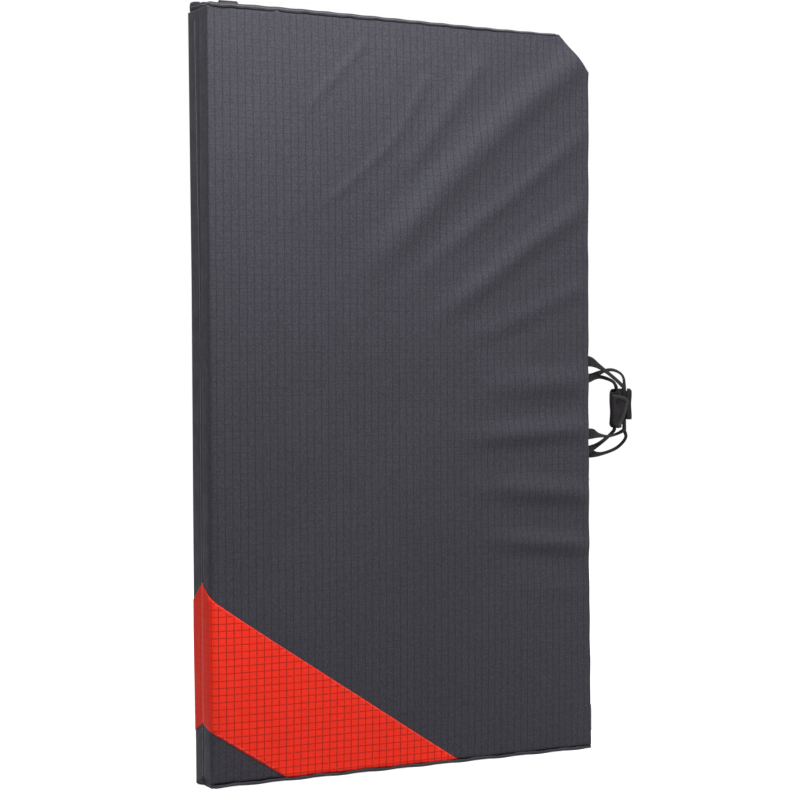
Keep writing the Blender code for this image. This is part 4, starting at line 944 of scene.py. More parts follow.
def make_hems(label, side, body):
    """The rolled hems on the top and foot seams. The top one stands proud near the fold, and the
    rear panel's cloth is bunched up at its top corner."""
    c = cover()
    half = c.hem_height / 2
    rings, row = [], []
    for k, from_end, place, out in hem_route(side, c.width - c.corner_cut - 0.004, c.height):
        proud = 1 - float(ease((place[0] - 0.08) / 0.42))
        tall = half * (0.62 + 0.50 * proud)
        tall *= 1 + 0.06 * math.sin(k * 0.9) + 0.05 * math.sin(k * 0.37)
        slope = min(abs(place[1]) / 0.026, 1.0)
        bunch = float(ease((0.030 - place[0]) / 0.022))
        bunch *= c.tuck_rise * (0.4 + 0.6 * slope if side > 0 else 0.4 * (1 - slope))
        tall += bunch * 0.5
        top = c.height + c.hem_rise * proud + 0.0003 * math.sin(k * 0.55) + bunch
        end = min(1.0, 0.55 + 0.3 * from_end)
        deep = HEM_DEEP * (0.7 + 0.3 * proud)
        place[2] = top - tall
        rings.append((place, out * deep * end, (0, 0, tall * (0.85 + 0.15 * end))))
        if from_end >= 2:
            row.append(place + out * (deep + 0.0001) + (0, 0, tall * 0.1))
    settle(tube(f"{label}_top_hem", rings, "piping"), body, "piping")
    stitches(f"{label}_top_hem_stitches", [row], (0, side, 0), body)
    rings = []
    for k, from_end, place, out in hem_route(side, c.width - 0.006, 0.0):
        tall = half * 0.72 * (1 + 0.10 * math.sin(k * 0.8) + 0.08 * math.sin(k * 0.23))
        end = min(1.0, 0.35 + 0.3 * from_end)
        grown = 1 + 0.6 * float(ease((0.10 - place[0]) / 0.08))
        place += (0, 0.0012 * out[1] * grown, tall + 0.0006 * (1 + math.sin(k * 0.31)))
        rings.append((place, out * 0.0017 * grown * end, (0, 0, tall * end)))
    settle(tube(f"{label}_foot_hem", rings, "piping"), body, "piping")


def make_foot_tuck():
    """The cloth bunched at the foot of the fold, where the two hems are sewn together. On the real
    pad it is pressed flat when the pad lies open; this piece keeps its bunched shape."""
    rings = []
    for t in np.linspace(0, 1, 13):
        full = math.sin(math.pi * t) ** 0.7
        tall = 0.0007 + 0.0026 * full
        place = (0.0034 - 0.0048 * full, 0.0145 - 0.0200 * t, tall + 0.0002)
        rings.append((place, (-0.0005 - 0.0054 * full, 0, 0), (0, 0, tall)))
    piece = tube("fold_foot_tuck", rings, "piping")
    settle(piece, "rear_panel", "piping")
    anchor = tuple(to_world((0.0036, 0.004, 0.003)).tolist())
    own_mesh(piece)


def make_stitching(label, side, body):
    """Topstitching along the band's edges."""
    t = trim()
    extra = t.rear_drop if side > 0 else 0.0
    edges = []
    for height, reach, drop, shift in ((t.band_top, t.top_reach, t.top_drop, -0.0028),
                                       (t.band_foot, t.foot_reach, t.foot_drop, 0.0028)):
        last = reach * (1 - (0.016 + extra + drop) / height)
        start = height - drop + shift - extra
        edges.append([on_skin(label, (x, side * 0.3, start - height * x / reach), (0, -side, 0),
                              0.0009) for x in np.arange(0.010, last, SKIN_STEP)])
    stitches(f"{label}_band_edge_stitches", edges, (0, side, 0), body, "red_stitch", "red_cloth")


def make_fold_seam():
    """The cord between the covers, red where it crosses the bands, and the seam's topstitching."""
    t, c = trim(), cover()
    for name, low, high, slot in (("foot", 0.0082, t.band_foot, "piping"),
                                  ("band", t.band_foot, t.band_top, "red_cloth"),
                                  ("top", t.band_top, c.height - 0.0082, "piping")):
        red = slot == "red_cloth"
        rings = []
        for k, z in enumerate(np.linspace(low, high, max(24, round((high - low) / 0.0024)))):
            radius = t.seam_radius * (0.95 + 0.04 * math.sin(k * 1.9) + 0.01 * math.sin(k * 0.37))
            radius *= 1.3 if red else 1.0
            rings.append(((0.0021 if red else 0.0025, 0, z), (radius, 0, 0), (0, 1.6 * radius, 0)))
        piece = tube(f"fold_cord_{name}", rings, "red_stitch" if red else slot)
        if red:
            piece.data.materials.append(FINISHES["piping"])
            inside = 0.0021 - 0.5 * t.seam_radius + ORIGIN[0]
            for face in piece.data.polygons:
                face.material_index = int(face.center.x > inside)
        settle(piece, "rear_panel", slot, *(["hinge_piping"] if name == "top" else []))
    for name, low, high, lift, material, slot in (
            ("foot", 0.012, t.band_foot - 0.002, 0.0003, "seam_stitch", "piping"),
            ("band", t.band_foot + 0.002, t.band_top - 0.004, 0.0009, "red_stitch", "red_cloth"),
            ("top", t.band_top + 0.001, c.height - 0.010, 0.0003, "seam_stitch", "piping")):
        path = []
        for z in np.arange(low, high, SKIN_STEP):
            behind = 0.0012 + 0.0125 * float(ease((z / c.height - 0.52) / 0.55))
            path.append(on_skin("rear", (-0.2, max(behind, 0.0022), z), ACROSS, lift))
        dimensions = (t.stitch_length * 0.75, t.stitch_width * 1.2, 0.0009)
        made = row_of_pieces(f"seam_stitches_{name}", [path], t.stitch_pitch, dimensions,
                             (-1, 0, 0), material)
        settle(made, "rear_panel", slot)


# Carry handles and grip

# Stations of a strand's upper and lower leg, from its sewn foot to the grip: shares of the way in
# x, y and z, a share of the webbing's width, and the way of that width
SEWN = (0.08, 0.00, 0.00, 1.00, 0.0, 0.0, 1.0)
LEGS = {
    "front_handle": (
        (SEWN, (0.22, 0.02, 0.04, 0.85, 0.1, 0.0, 1.0), (0.40, 0.15, 0.20, 0.50, 0.3, 0.2, 0.9),
         (0.60, 0.40, 0.43, 0.42, 0.4, 0.4, 0.7), (0.82, 0.75, 0.72, 0.40, 0.7, 0.3, 0.4)),
        (SEWN, (0.24, 0.05, 0.05, 0.90, 0.0, 0.0, 1.0), (0.40, 0.15, -0.40, 0.48, 0.0, 0.5, 0.8),
         (0.64, 0.35, -0.70, 0.32, 0.0, 0.9, 0.5), (0.86, 0.70, 0.10, 0.32, -0.4, 0.7, 0.5))),
    "rear_handle_inner": (
        (SEWN, (0.26, 0.05, -0.10, 0.75, 0.0, 0.0, 1.0), (0.50, 0.10, -0.25, 0.40, 0.0, 0.0, 1.0),
         (0.74, 0.35, 0.00, 0.32, 0.2, 0.0, 0.9), (0.92, 0.85, 0.40, 0.32, 0.8, 0.2, 0.3)),
        (SEWN, (0.26, 0.05, 0.10, 0.70, 0.0, 0.1, 1.0), (0.50, 0.30, 0.30, 0.42, -0.3, 0.1, 0.9),
         (0.74, 0.60, 0.58, 0.34, -0.5, 0.1, 0.8), (0.93, 0.85, 0.86, 0.32, -0.8, 0.1, 0.4))),
    "rear_handle_outer": (
        (SEWN, (0.26, 0.02, -0.15, 0.75, 0.0, 0.0, 1.0), (0.48, 0.02, -0.75, 0.40, -0.2, 0.0, 0.9),
         (0.70, 0.20, -1.05, 0.30, 0.0, 0.1, 0.8), (0.88, 0.65, -0.75, 0.30, 0.6, 0.4, 0.5),
         (0.98, 0.90, -0.10, 0.30, 0.9, 0.3, 0.2)),
        (SEWN, (0.26, 0.02, -0.10, 0.75, 0.0, 0.0, 1.0), (0.50, 0.15, -0.12, 0.34, 0.0, 0.4, 1.0),
         (0.84, 0.45, 0.14, 0.30, -0.3, 0.3, 0.9), (1.04, 0.80, 0.60, 0.30, -0.7, 0.2, 0.5))),
}
GRIPPED_WIDTH = 0.36
ENTRY_MARGIN = 0.003
# Corners of the flap as shares of the sleeve's width and length
FLAP_OUTLINE = ((-0.64, 0.37), (-0.22, 0.345), (0.08, 0.285), (0.21, 0.20), (0.13, 0.00),
                (-0.09, -0.33), (-0.27, -0.51), (-0.43, -0.51), (-0.60, -0.40))
# The flap's rings: how far inward, and the share of a ply that each one stands out
FLAP_RINGS = ((0.0, -0.10), (0.0, 0.25), (0.0012, 0.50), (0.0028, 0.48))
GRAB_ARCH = ((-0.78, 0.0), (-0.62, 0.14), (-0.46, 0.62), (-0.22, 0.95), (0.0, 1.0))


def grip_centre():
    h = handles()
    return np.array((cover().width + h.grip_reach, 0.0, h.grip_height))


def rear_lane():
    """The rear strands lie against the back wall of the grip wrap."""
    h = handles()
    return h.grip_depth / 2 - h.grip_cloth - 2 * cover().seat - h.ply / 2


def make_strand(name, node, side, body, root, run, height, lane, lane_shares, under=0):
    """One strand of webbing, held in the grip and sewn to the closing wall at both ends. Its feet
    start at the root and run away from the fold plane."""
    h, c = handles(), cover()
    wall = c.width + c.seat + h.ply / 2 + under * (h.ply + c.seat)
    middle = grip_centre()
    near, far, reach = h.ply * 2 + 0.001, run - 0.001, h.webbing / 2 - 0.002
    corners = [(near, -reach), (far, -reach), (far, reach), (near, reach), (near, -reach),
               (far, reach), (far, -reach), (near, reach)]
    free, feet, seams = [], [], []
    for half, shares, lane_share in zip((1, -1), LEGS[node], lane_shares):
        foot = np.array((wall, side * root, height + half * h.length / 2))
        entry = np.array((middle[0] + h.grip_width * lane_share, side * lane,
                          middle[2] + half * (h.grip_length / 2 + ENTRY_MARGIN)))
        leg = [(*(foot + (entry - foot) * row[:3]), h.webbing * row[3], *(half * np.array(row[4:])))
               for row in shares]
        leg.append((*entry, h.webbing * GRIPPED_WIDTH, *ACROSS))
        free += smooth_route(leg[::half], 7)
        feet.append([(wall, side * (root + along), foot[2], h.webbing, 0.0, 0.0, half)
                     for along in np.linspace(run, h.ply * 2, 4)])
        spots = [(wall + h.ply / 2 + STITCH_LIFT, side * (root + a), foot[2] + b)
                 for a, b in corners]
        seams += zip(spots, spots[1:])
    settle(ribbon(name, feet[0] + free + feet[1][::-1], h.ply), body, "webbing", node)
    if under or side == FRONT:
        stitches(f"{name}_stitches", seams, ACROSS, body)


def make_handles():
    h = handles()
    make_strand("front_handle_strand", "front_handle", FRONT, "front_panel", h.from_seam, h.foot,
                h.front_height, h.front_lane, (0.06, 0.10))
    make_strand("rear_inner_strand", "rear_handle_inner", REAR, "rear_panel", h.from_seam, h.foot,
                h.rear_height, rear_lane(), (-0.08, -0.18))
    make_strand("rear_outer_strand", "rear_handle_outer", REAR, "rear_panel", h.outer_from_seam,
                h.outer_foot, h.rear_height, rear_lane(), (0.33, 0.30), under=1)


def make_wrap():
    """The sleeve round the strands: a C in section, open to the front, with worn, slanted ends."""
    h = handles()
    middle = grip_centre()
    half_width, half_depth = (h.grip_width - h.grip_cloth) / 2, (h.grip_depth - h.grip_cloth) / 2
    section = [(h.grip_mouth / 2, -half_depth)]
    for sign_x, sign_y, start in ((1, -1, -90), (1, 1, 0), (-1, 1, 90), (-1, -1, 180)):
        corner = (sign_x * (half_width - h.grip_round), sign_y * (half_depth - h.grip_round))
        section += arc_points(corner, h.grip_round, start, start + 90, 9)
    section.append((-h.grip_mouth / 2, -half_depth))
    rows = []
    for k, (x, y) in enumerate(section):
        share = x / half_width
        top = h.grip_length * (0.515 + 0.01 * share - 0.09 * ease((-share - 0.55) / 0.35)
                               - 0.08 * ease((share - 0.55) / 0.45))
        foot = -h.grip_length * (0.500 - 0.21 * ease((share + 0.20) / 0.35)
                                 - 0.09 * ease((-share - 0.60) / 0.40))
        row = []
        for t in np.linspace(0, 1, 17):
            slack = 0.05 * math.sin(math.pi * t) ** 2 + 0.02 * math.sin(3 * math.pi * t + 0.4 * k)
            row.append((middle[0] + x * (1 - slack), y * (1 - 0.03 * math.sin(2.2 * math.pi * t)),
                        middle[2] + foot + (top - foot) * t))
        rows.append(row)
    piece = shell("grip_wrap_cloth", rows, h.grip_cloth * 0.92, "wrap_cloth")
    settle(piece, "rear_panel", "wrap_cloth", "grip_wrap")


def rounded_outline(corners, radius, steps):
    """A closed outline with each corner turned into a small curve."""
    made = []
    corners = [np.array(corner, float) for corner in corners]
    for before, corner, after in zip(corners[-1:] + corners, corners, corners[1:] + corners[:1]):
        start, end = (corner + (other - corner) / np.linalg.norm(other - corner) * radius
                      for other in (before, after))
        made += [start * (1 - t) ** 2 + corner * 2 * t * (1 - t) + end * t**2
                 for t in np.linspace(0, 1, steps + 1)]
    return np.array(made)


def make_flap():
    """The closing flap with its bound edge, hinged at the sleeve's left side."""
    h = handles()
    middle, ply = grip_centre(), h.grip_cloth
    corners = [(h.grip_width * x, h.grip_length * z) for x, z in FLAP_OUTLINE]
    outline = rounded_outline(corners, 0.0028, 4)
    centre = outline.mean(0)
    way = np.roll(outline, -1, axis=0) - np.roll(outline, 1, axis=0)
    inward = np.stack([-way[:, 1], way[:, 0]], -1) / np.linalg.norm(way, axis=1)[:, None]
    inward *= np.sign(((centre - outline) * inward).sum(1))[:, None]
    levels = (*FLAP_RINGS, (h.binding, 0.30), (h.binding + 0.0004, 0.12))
    loops = [(outline + inward * inset, rise) for inset, rise in levels]
    loops += [(centre + (loops[-1][0] - centre) * keep, 0.13) for keep in (0.66, 0.30)]
    back = -h.grip_depth / 2 - cover().seat - ply / 2
    rings = []
    for loop, rise in loops:
        x, z = loop.T
        bend = 0.0010 * ((x + h.grip_width * 0.13) / (h.grip_width * 0.39)) ** 2
        y = back + bend + 0.0003 * np.sin(z * 260) - ply * rise
        rings.append(np.stack([middle[0] + x, y, middle[2] + z], -1))
    rings.insert(0, rings[0] + (0, ply * 0.35, 0))
    points = np.concatenate([*rings, [rings[-1].mean(0), rings[0].mean(0)]])
    numbers = np.arange(len(points) - 2).reshape(len(rings), -1)
    faces = between(*numbers).tolist()
    for loop, tip in ((numbers[-1], len(points) - 2), (numbers[0][::-1], len(points) - 1)):
        faces += [(a, b, tip) for a, b in zip(loop, np.roll(loop, -1))]
    uv = [points[i][[0, 2]] for face in faces for i in face]
    piece = new_piece("grip_flap_cloth", points, faces, "wrap_cloth", uv)
    piece.data.materials.append(FINISHES["binding"])
    for face in piece.data.polygons[: (len(levels) - 1) * len(outline)]:
        place = face.center - Vector(to_world(middle))
        slant = (-0.38 + 0.51 * (place.z / h.grip_length + 0.5)) * h.grip_width
        bound = place.z > 0.19 * h.grip_length or place.x > slant
        face.material_index = int(place.x > -0.60 * h.grip_width and bound)
    settle(piece, "grip_flap", "wrap_cloth", "grip_flap")
    path = [(middle[0] + x, back - ply * 0.5, middle[2] + z)
            for x, z in outline + inward * (h.binding - 0.0006)
            if x > centre[0] or z > 0.3 * h.grip_length]
    made = row_of_pieces("grip_flap_stitches", [path], 0.0022, (0.0015, 0.0007, 0.0005),
                         (0, -1, 0), "binding")
    settle(made, "grip_flap", "wrap_cloth")


def make_grab_loop():
    """The small loop of webbing on the top end, sewn down at both feet."""
    h, c = handles(), cover()
    base, half = c.height + c.seat + h.ply / 2, h.loop_length / 2
    shares = [*GRAB_ARCH, *((-x, rise) for x, rise in reversed(GRAB_ARCH[:-1]))]
    rows = [(h.loop_from_hinge, half * across - h.loop_from_seam, base + h.loop_rise * rise,
             h.loop_webbing, *ACROSS)
            for across, rise in [(-1.0, 0.0), *smooth_route(shares, 6), (1.0, 0.0)]]
    piece = ribbon("grab_loop_webbing", rows, h.ply, flat_steps=8)
    settle(piece, "front_panel", "webbing", "grab_loop")
    reach, top = h.loop_webbing / 2 - 0.002, base + h.ply / 2 + STITCH_LIFT
    seams = [[(h.loop_from_hinge + across, foot * half * 0.9 - h.loop_from_seam, top)
              for across in (-reach, reach)] for foot in (-1, 1)]
    stitches("grab_loop_stitches", seams, UP, "front_panel")


# Zips

ZIP_WIDTH, ZIP_PLY, ZIP_PITCH = 0.013, 0.0009, 0.0017
COIL_TURN = (0.00135, 0.0029, 0.0021)


def make_zip(label, body):
    """Tape over the access slot with two rows of coil on it."""
    c = cover()
    low, high = (np.array(corner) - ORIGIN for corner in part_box(f"{label}_zip_tape"))
    middle, wall = (low[1] + high[1]) / 2, c.width + c.seat
    rows = [(wall + ZIP_PLY / 2, middle, z, ZIP_WIDTH, *OUTWARD)
            for z in np.linspace(low[2] + 0.0002, high[2] - 0.0002, 60)]
    tape = ribbon(f"{label}_zip_cloth", rows, ZIP_PLY, "zip_tape", edge_steps=3)
    settle(tape, body, "zip_tape", f"{label}_zip_tape")
    rows = [[(wall + ZIP_PLY + 0.0009, middle + offset, z + start)
             for z in (low[2] + 0.001, high[2] - 0.002)]
            for offset, start in ((-0.00125, 0.0), (0.00125, ZIP_PITCH / 2))]
    coil = row_of_pieces(f"{label}_zip_coil", rows, ZIP_PITCH, COIL_TURN, ACROSS, "zip_tape")
    settle(coil, body, "zip_tape")
    seams = [[(wall + ZIP_PLY + 0.0001, middle + offset, z)
              for z in (low[2] + 0.003, high[2] - 0.003)]
             for offset in (-0.0050, 0.0050)]
    stitches(f"{label}_zip_stitches", seams, ACROSS, body, slot="zip_tape")


# Harness

def on_face(x, z, lift):
    """A point over the outer face of the rear panel, at a lift from its surface."""
    return np.array((x, cover().depth + float(crown_at(x, z)) + lift, z))


def harness_stitches(name, paths, slot="webbing"):
    stitches(f"{name}_stitches", paths, OUTWARD, "rear_panel", slot=slot)


def box_paths(x, z, half_width, half_height, lift):
    """A sewn box with a cross in it."""
    corners = [(-1, -1), (1, -1), (1, 1), (-1, 1), (-1, -1), (1, 1)]
    pairs = [*zip(corners, corners[1:]), ((1, -1), (-1, 1))]
    return [[on_face(x + half_width * (a + (d - a) * k), z + half_height * (b + (e - b) * k), lift)
             for k in np.linspace(0, 1, 5)] for (a, b), (d, e) in pairs]


def make_patch(node, x, z, width, height):
    """A rectangle of reinforcing cloth with a stitched border, sewn over the face."""
    g, seat = harness(), cover().seat
    grid = [[on_face(x + width * a, z + height * b, seat + g.patch / 2 - 0.0001)
             for a in np.linspace(0.5, -0.5, 25)] for b in np.linspace(-0.5, 0.5, 11)]
    piece = shell(f"{node}_cloth", grid, g.patch * 0.9, "strap_cloth")
    settle(piece, "rear_panel", "strap_cloth", node)
    paths = []
    for margin in (0.0025, 0.0045):
        a, b = width / 2 - margin, height / 2 - margin
        corners = np.array([(-a, -b), (a, -b), (a, b), (-a, b), (-a, -b)]) + (x, z)
        paths += [[on_face(*(start + (end - start) * k), seat + g.patch + 0.0001)
                   for k in np.linspace(0, 1, 12)] for start, end in zip(corners, corners[1:])]
    harness_stitches(node, paths, "strap_cloth")


def make_patches():
    """The yoke, and the patches under the lower ends of the straps and of the belt."""
    g, middle = harness(), cover().width / 2
    make_patch("harness_yoke", middle, g.yoke_height, g.yoke_width, g.yoke_depth)
    for label, side in STRAPS:
        for node, x, z in (("strap_anchor", strap_line(side, 1.0)[0], anchor_height()),
                           ("belt_anchor", middle + side * g.belt_anchor, belt_height())):
            make_patch(f"{node}_{label}", x, z, g.anchor_width, g.anchor_length)


def lock_length():
    g = harness()
    return 3 * g.lock_bar + g.lock_upper + g.lock_lower


def strap_top():
    g = harness()
    return g.yoke_height - g.yoke_depth / 2 - g.top_gap


def lock_height():
    g = harness()
    return strap_top() - g.pad_length - g.lock_drop - lock_length() / 2


def anchor_height():
    return lock_height() - harness().adjuster_drop


def belt_height():
    return anchor_height() - harness().belt_drop


def on_patch():
    """Lift of webbing that lies over a sewn patch."""
    g, seat = harness(), cover().seat
    return seat + g.patch + seat + g.ply / 2


def lock_lift():
    """The lock's middle plane, over the load ply and the tail that pass behind it."""
    g = harness()
    return cover().seat + 2 * g.ply + 2 * g.clearance + g.lock_thickness / 2


def turn_radius():
    g = harness()
    return g.lock_thickness / 2 + g.clearance + g.ply / 2


def strap_line(side, share):
    """The shoulder strap's centreline, from its top (0) to its foot (1)."""
    g = harness()
    offset = g.top_offset + (g.foot_offset - g.top_offset) * ease(share)
    offset += g.bow * math.sin(math.pi * share) ** 2
    return cover().width / 2 + side * offset, strap_top() - g.pad_length * share


def make_shoulder_pad(label, side):
    """A quilted strap pad: full in the middle, pinched at its bound edges and two cross seams."""
    g = harness()

    def spot(share, across, lift):
        x, z = strap_line(side, share)
        return on_face(x + across * g.pad_width / 2, z, cover().seat + lift)

    def puff(share, across):
        end = min(share, 1 - share) * g.pad_length
        full = (1 - abs(across) ** 3.2) ** 0.55 * min(1.0, (end / 0.010) ** 0.5 + 0.28)
        return (g.pad - 0.0016) * full

    shares, across = np.linspace(0, 1, 67), np.linspace(-1, 1, 21)
    top, floor = [], []
    for share in shares:
        pinch = 1 - 0.42 * sum(bell((share - seam) * g.pad_length / 0.0035)
                               for seam in (0.33, 0.66))
        for a in across:
            channel = 1 - 0.22 * bell((abs(a) - 0.36) / 0.035)
            top.append(spot(share, a, 0.0014 + puff(share, a) * pinch * channel))
            floor.append(spot(share, a, 0.0003))
    points = np.array(top + floor)
    quads, rim = grid_faces(np.arange(len(top)).reshape(len(shares), len(across)))
    faces = np.concatenate([quads, quads[:, ::-1] + len(top), between(rim, len(top) + rim)])
    piece = new_piece(f"shoulder_pad_{label}_cloth", points, faces, "strap_cloth",
                      points[:, [0, 2]][faces].reshape(-1, 2))
    settle(piece, "rear_panel", "strap_cloth", f"shoulder_pad_{label}")
    seam = 1 - 0.006 / g.pad_width
    paths = [[spot(share, sign * seam, 0.0016 + puff(share, seam))
              for share in np.linspace(0.015, 0.985, 90)] for sign in (-1, 1)]
    harness_stitches(f"shoulder_pad_{label}", paths, "strap_cloth")


def make_shoulder_webbing(label, side):
    """Webbing from the yoke, down the pad, and back behind itself round the lock's upper bar."""
    g = harness()
    on_yoke, on_pad = on_patch(), 2 * cover().seat + g.pad + g.ply / 2
    top_x, top_z = strap_line(side, 0.0)
    stations = [(top_x, top_z + g.yoke_depth - g.lock_bar, on_yoke),
                (top_x, top_z + on_pad - on_yoke, on_yoke), (top_x, top_z, on_pad)]
    stations += [(*strap_line(side, share), on_pad) for share in np.linspace(0.05, 1.0, 40)]
    foot_x, _ = strap_line(side, 1.0)
    plane, radius = lock_lift(), turn_radius()
    bar_foot = lock_height() + lock_length() / 2 - g.lock_bar
    stations.append((foot_x, bar_foot + g.lock_bar, plane + radius))
    turn = arc_points((plane, bar_foot), radius, 0, -180, 12)
    stations += [(foot_x, z, lift) for lift, z in turn]
    stations.append((foot_x, bar_foot + g.loop, plane - radius))
    rows = [(*on_face(*station), g.webbing, *ACROSS) for station in stations]
    piece = ribbon(f"shoulder_webbing_{label}_strap", rows, g.ply)
    settle(piece, "rear_panel", "webbing", f"shoulder_webbing_{label}")
    paths = box_paths(top_x, top_z + g.yoke_depth / 2, g.webbing / 2 - 0.003, 0.014,
                      on_yoke + g.ply / 2 + STITCH_LIFT)
    harness_stitches(f"shoulder_webbing_{label}", paths)


def make_adjuster(label, side):
    """Webbing from the lower anchor, up behind the lock, over its middle bar, down as a tail."""
    g = harness()
    x, _ = strap_line(side, 1.0)
    load, radius, plane = cover().seat + g.ply / 2, turn_radius(), lock_lift()
    upper_edge = lock_height() + lock_length() / 2 - g.lock_bar - g.lock_upper
    middle_foot = upper_edge - g.lock_bar
    lower_bar = middle_foot - g.lock_lower
    anchor, half = anchor_height(), g.anchor_length / 2
    path = [(anchor - half + g.lock_bar, on_patch()), (anchor + half, on_patch()),
            (anchor + half + g.lock_bar, load), ((anchor + lower_bar) / 2, load),
            (lower_bar, load), (middle_foot, load)]
    path += [(z, lift) for lift, z in arc_points((plane, upper_edge), radius, 180, 0, 12)]
    path += [(middle_foot, plane + radius), (lower_bar, plane - radius),
             (lower_bar - g.lock_bar * 2, plane - radius), (lower_bar - g.tail, plane - radius)]
    rows = [(*on_face(x, z, lift), g.webbing, *ACROSS) for z, lift in path]
    piece = ribbon(f"adjuster_{label}_strap", rows, g.ply)
    settle(piece, "rear_panel", "webbing", f"adjuster_webbing_{label}")
    harness_stitches(f"adjuster_{label}", box_paths(x, anchor, g.webbing / 2 - 0.003, 0.012,
                                                    on_patch() + g.ply / 2 + STITCH_LIFT))


def make_belt(label, side):
    """Half of the waist belt: from its anchor to the buckle's heel bar, round it and sewn down."""
    g, middle = harness(), cover().width / 2
    plane, radius, load = cover().seat + g.buckle_depth / 2, turn_radius(), cover().seat + g.ply / 2
    bar = g.tongue_gap + g.tongue_collar if side > 0 else g.housing
    bar += g.heel_neck + g.heel_slot
    free, sewn = bar + g.heel_bar, load + g.ply + g.clearance
    start = g.belt_anchor - g.anchor_width / 2
    path = [(g.belt_anchor + g.anchor_width / 2 - g.lock_bar, on_patch()),
            (g.belt_anchor, on_patch()), (start, on_patch()), (start - g.lock_bar, load)]
    path += [(run, load) for run in np.linspace(start - g.lock_bar * 3, free + g.loop, 12)]
    path += [(bar, plane - radius)]
    path += [(bar - u, plane + v) for u, v in arc_points((0.0, 0.0), radius, -90, 90, 12)[1:-1]]
    path += [(bar, plane + radius), (free, plane + radius), (free + g.loop, sewn),
             (free + g.loop * 2.5, sewn)]
    height = belt_height()
    rows = [(*on_face(middle + side * run, height, lift), g.belt, *UP) for run, lift in path]
    settle(ribbon(f"waist_belt_{label}_strap", rows, g.ply), "rear_panel", "webbing",
           f"waist_belt_{label}")
    paths = []
    for run, half_width, lift in ((g.belt_anchor, 0.014, on_patch()),
                                  (free + g.loop * 1.9, 0.006, sewn)):
        paths += box_paths(middle + side * run, height, half_width, g.belt / 2 - 0.004,
                           lift + g.ply / 2 + STITCH_LIFT)
    harness_stitches(f"waist_belt_{label}", paths)


# Hardware

HARDWARE = {
    "buckle_plastic": ("ladder_lock_left", "ladder_lock_right", "buckle_socket", "buckle_tongue"),
    "zip_metal": [f"{label}_zip_{part}" for label in ("front", "rear")
                  for part in ("slider", "pull", "bottom_stop", "top_stop")],
}


def finish_hardware():
    for finish, nodes in HARDWARE.items():
        for node in nodes:
            for held in frame["nodes"][node].material_slots:
                held.material = FINISHES[finish]


# Stage

PHOTO_WIDTH = 795           # pixels
SENSOR_WIDTH = 36.0         # millimetres
WHITE = (1.0, 1.0, 1.0, 1.0)


def camera_matrix():
    s = bpy.context.scene.pad_stage
    yaw, pitch, roll = (math.radians(value) for value in s.turn)
    right = Vector((math.cos(yaw), math.sin(yaw), 0))
    ahead = Vector((-math.sin(yaw), math.cos(yaw), 0))
    forward = math.cos(pitch) * ahead - math.sin(pitch) * Vector(UP)
    above = math.sin(pitch) * ahead + math.cos(pitch) * Vector(UP)
    across = math.cos(roll) * right + math.sin(roll) * above
    upward = -math.sin(roll) * right + math.cos(roll) * above
    made = Matrix((across, upward, -forward)).transposed().to_4x4()
    made.translation = Vector(s.camera) + Vector(ORIGIN)
    return made


def add_camera(focal):
    """The photograph's camera, from its focal length in pixels."""
    lens = bpy.data.cameras.new("photo_camera")
    lens.sensor_fit, lens.sensor_width = "HORIZONTAL", SENSOR_WIDTH
    lens.lens = focal / PHOTO_WIDTH * SENSOR_WIDTH
    lens.clip_start, lens.clip_end = 0.05, 200.0
    camera = link("photo_camera", lens)
    camera.matrix_world = camera_matrix()
    bpy.context.scene.camera = camera


def add_lamp(name, place, target, width, power):
    """A round lamp; the place and target are measured from the pad's middle."""
    middle = Vector(ORIGIN) + Vector((0.28, 0.0, 0.5))
    lamp = bpy.data.lights.new(name, "AREA")
    lamp.shape, lamp.size, lamp.energy = "DISK", width, power
    place, target = middle + Vector(place), middle + Vector(target)
    aim = (target - place).to_track_quat("-Z", "Y").to_matrix().to_4x4()
    link(name, lamp).matrix_world = Matrix.Translation(place) @ aim


def seen_ray(nodes):
    """1 for rays that the camera sees, directly or in a gloss, and 0 for light."""
    path = nodes.add("ShaderNodeLightPath").outputs
    either = nodes.math("MAXIMUM", path["Is Camera Ray"], path["Is Glossy Ray"])
    return nodes.math("MAXIMUM", either, path["Is Transmission Ray"])


def add_world(ambient):
    """A white background to look at, and a weaker one that lights the pad."""
    world = bpy.data.worlds.new("studio")
    world.use_nodes = True
    nodes = Nodes(world.node_tree)
    around, seen = nodes.tree.nodes["Background"], nodes.add("ShaderNodeBackground")
    blend = nodes.add("ShaderNodeMixShader")
    nodes.join(seen_ray(nodes), blend.inputs[0])
    for light, strength, socket in ((around, ambient, 1), (seen, 1.0, 2)):
        light.inputs["Color"].default_value = WHITE
        light.inputs["Strength"].default_value = strength
        nodes.join(light.outputs[0], blend.inputs[socket])
    nodes.join(blend.outputs[0], nodes.tree.nodes["World Output"].inputs["Surface"])
    bpy.context.scene.world = world


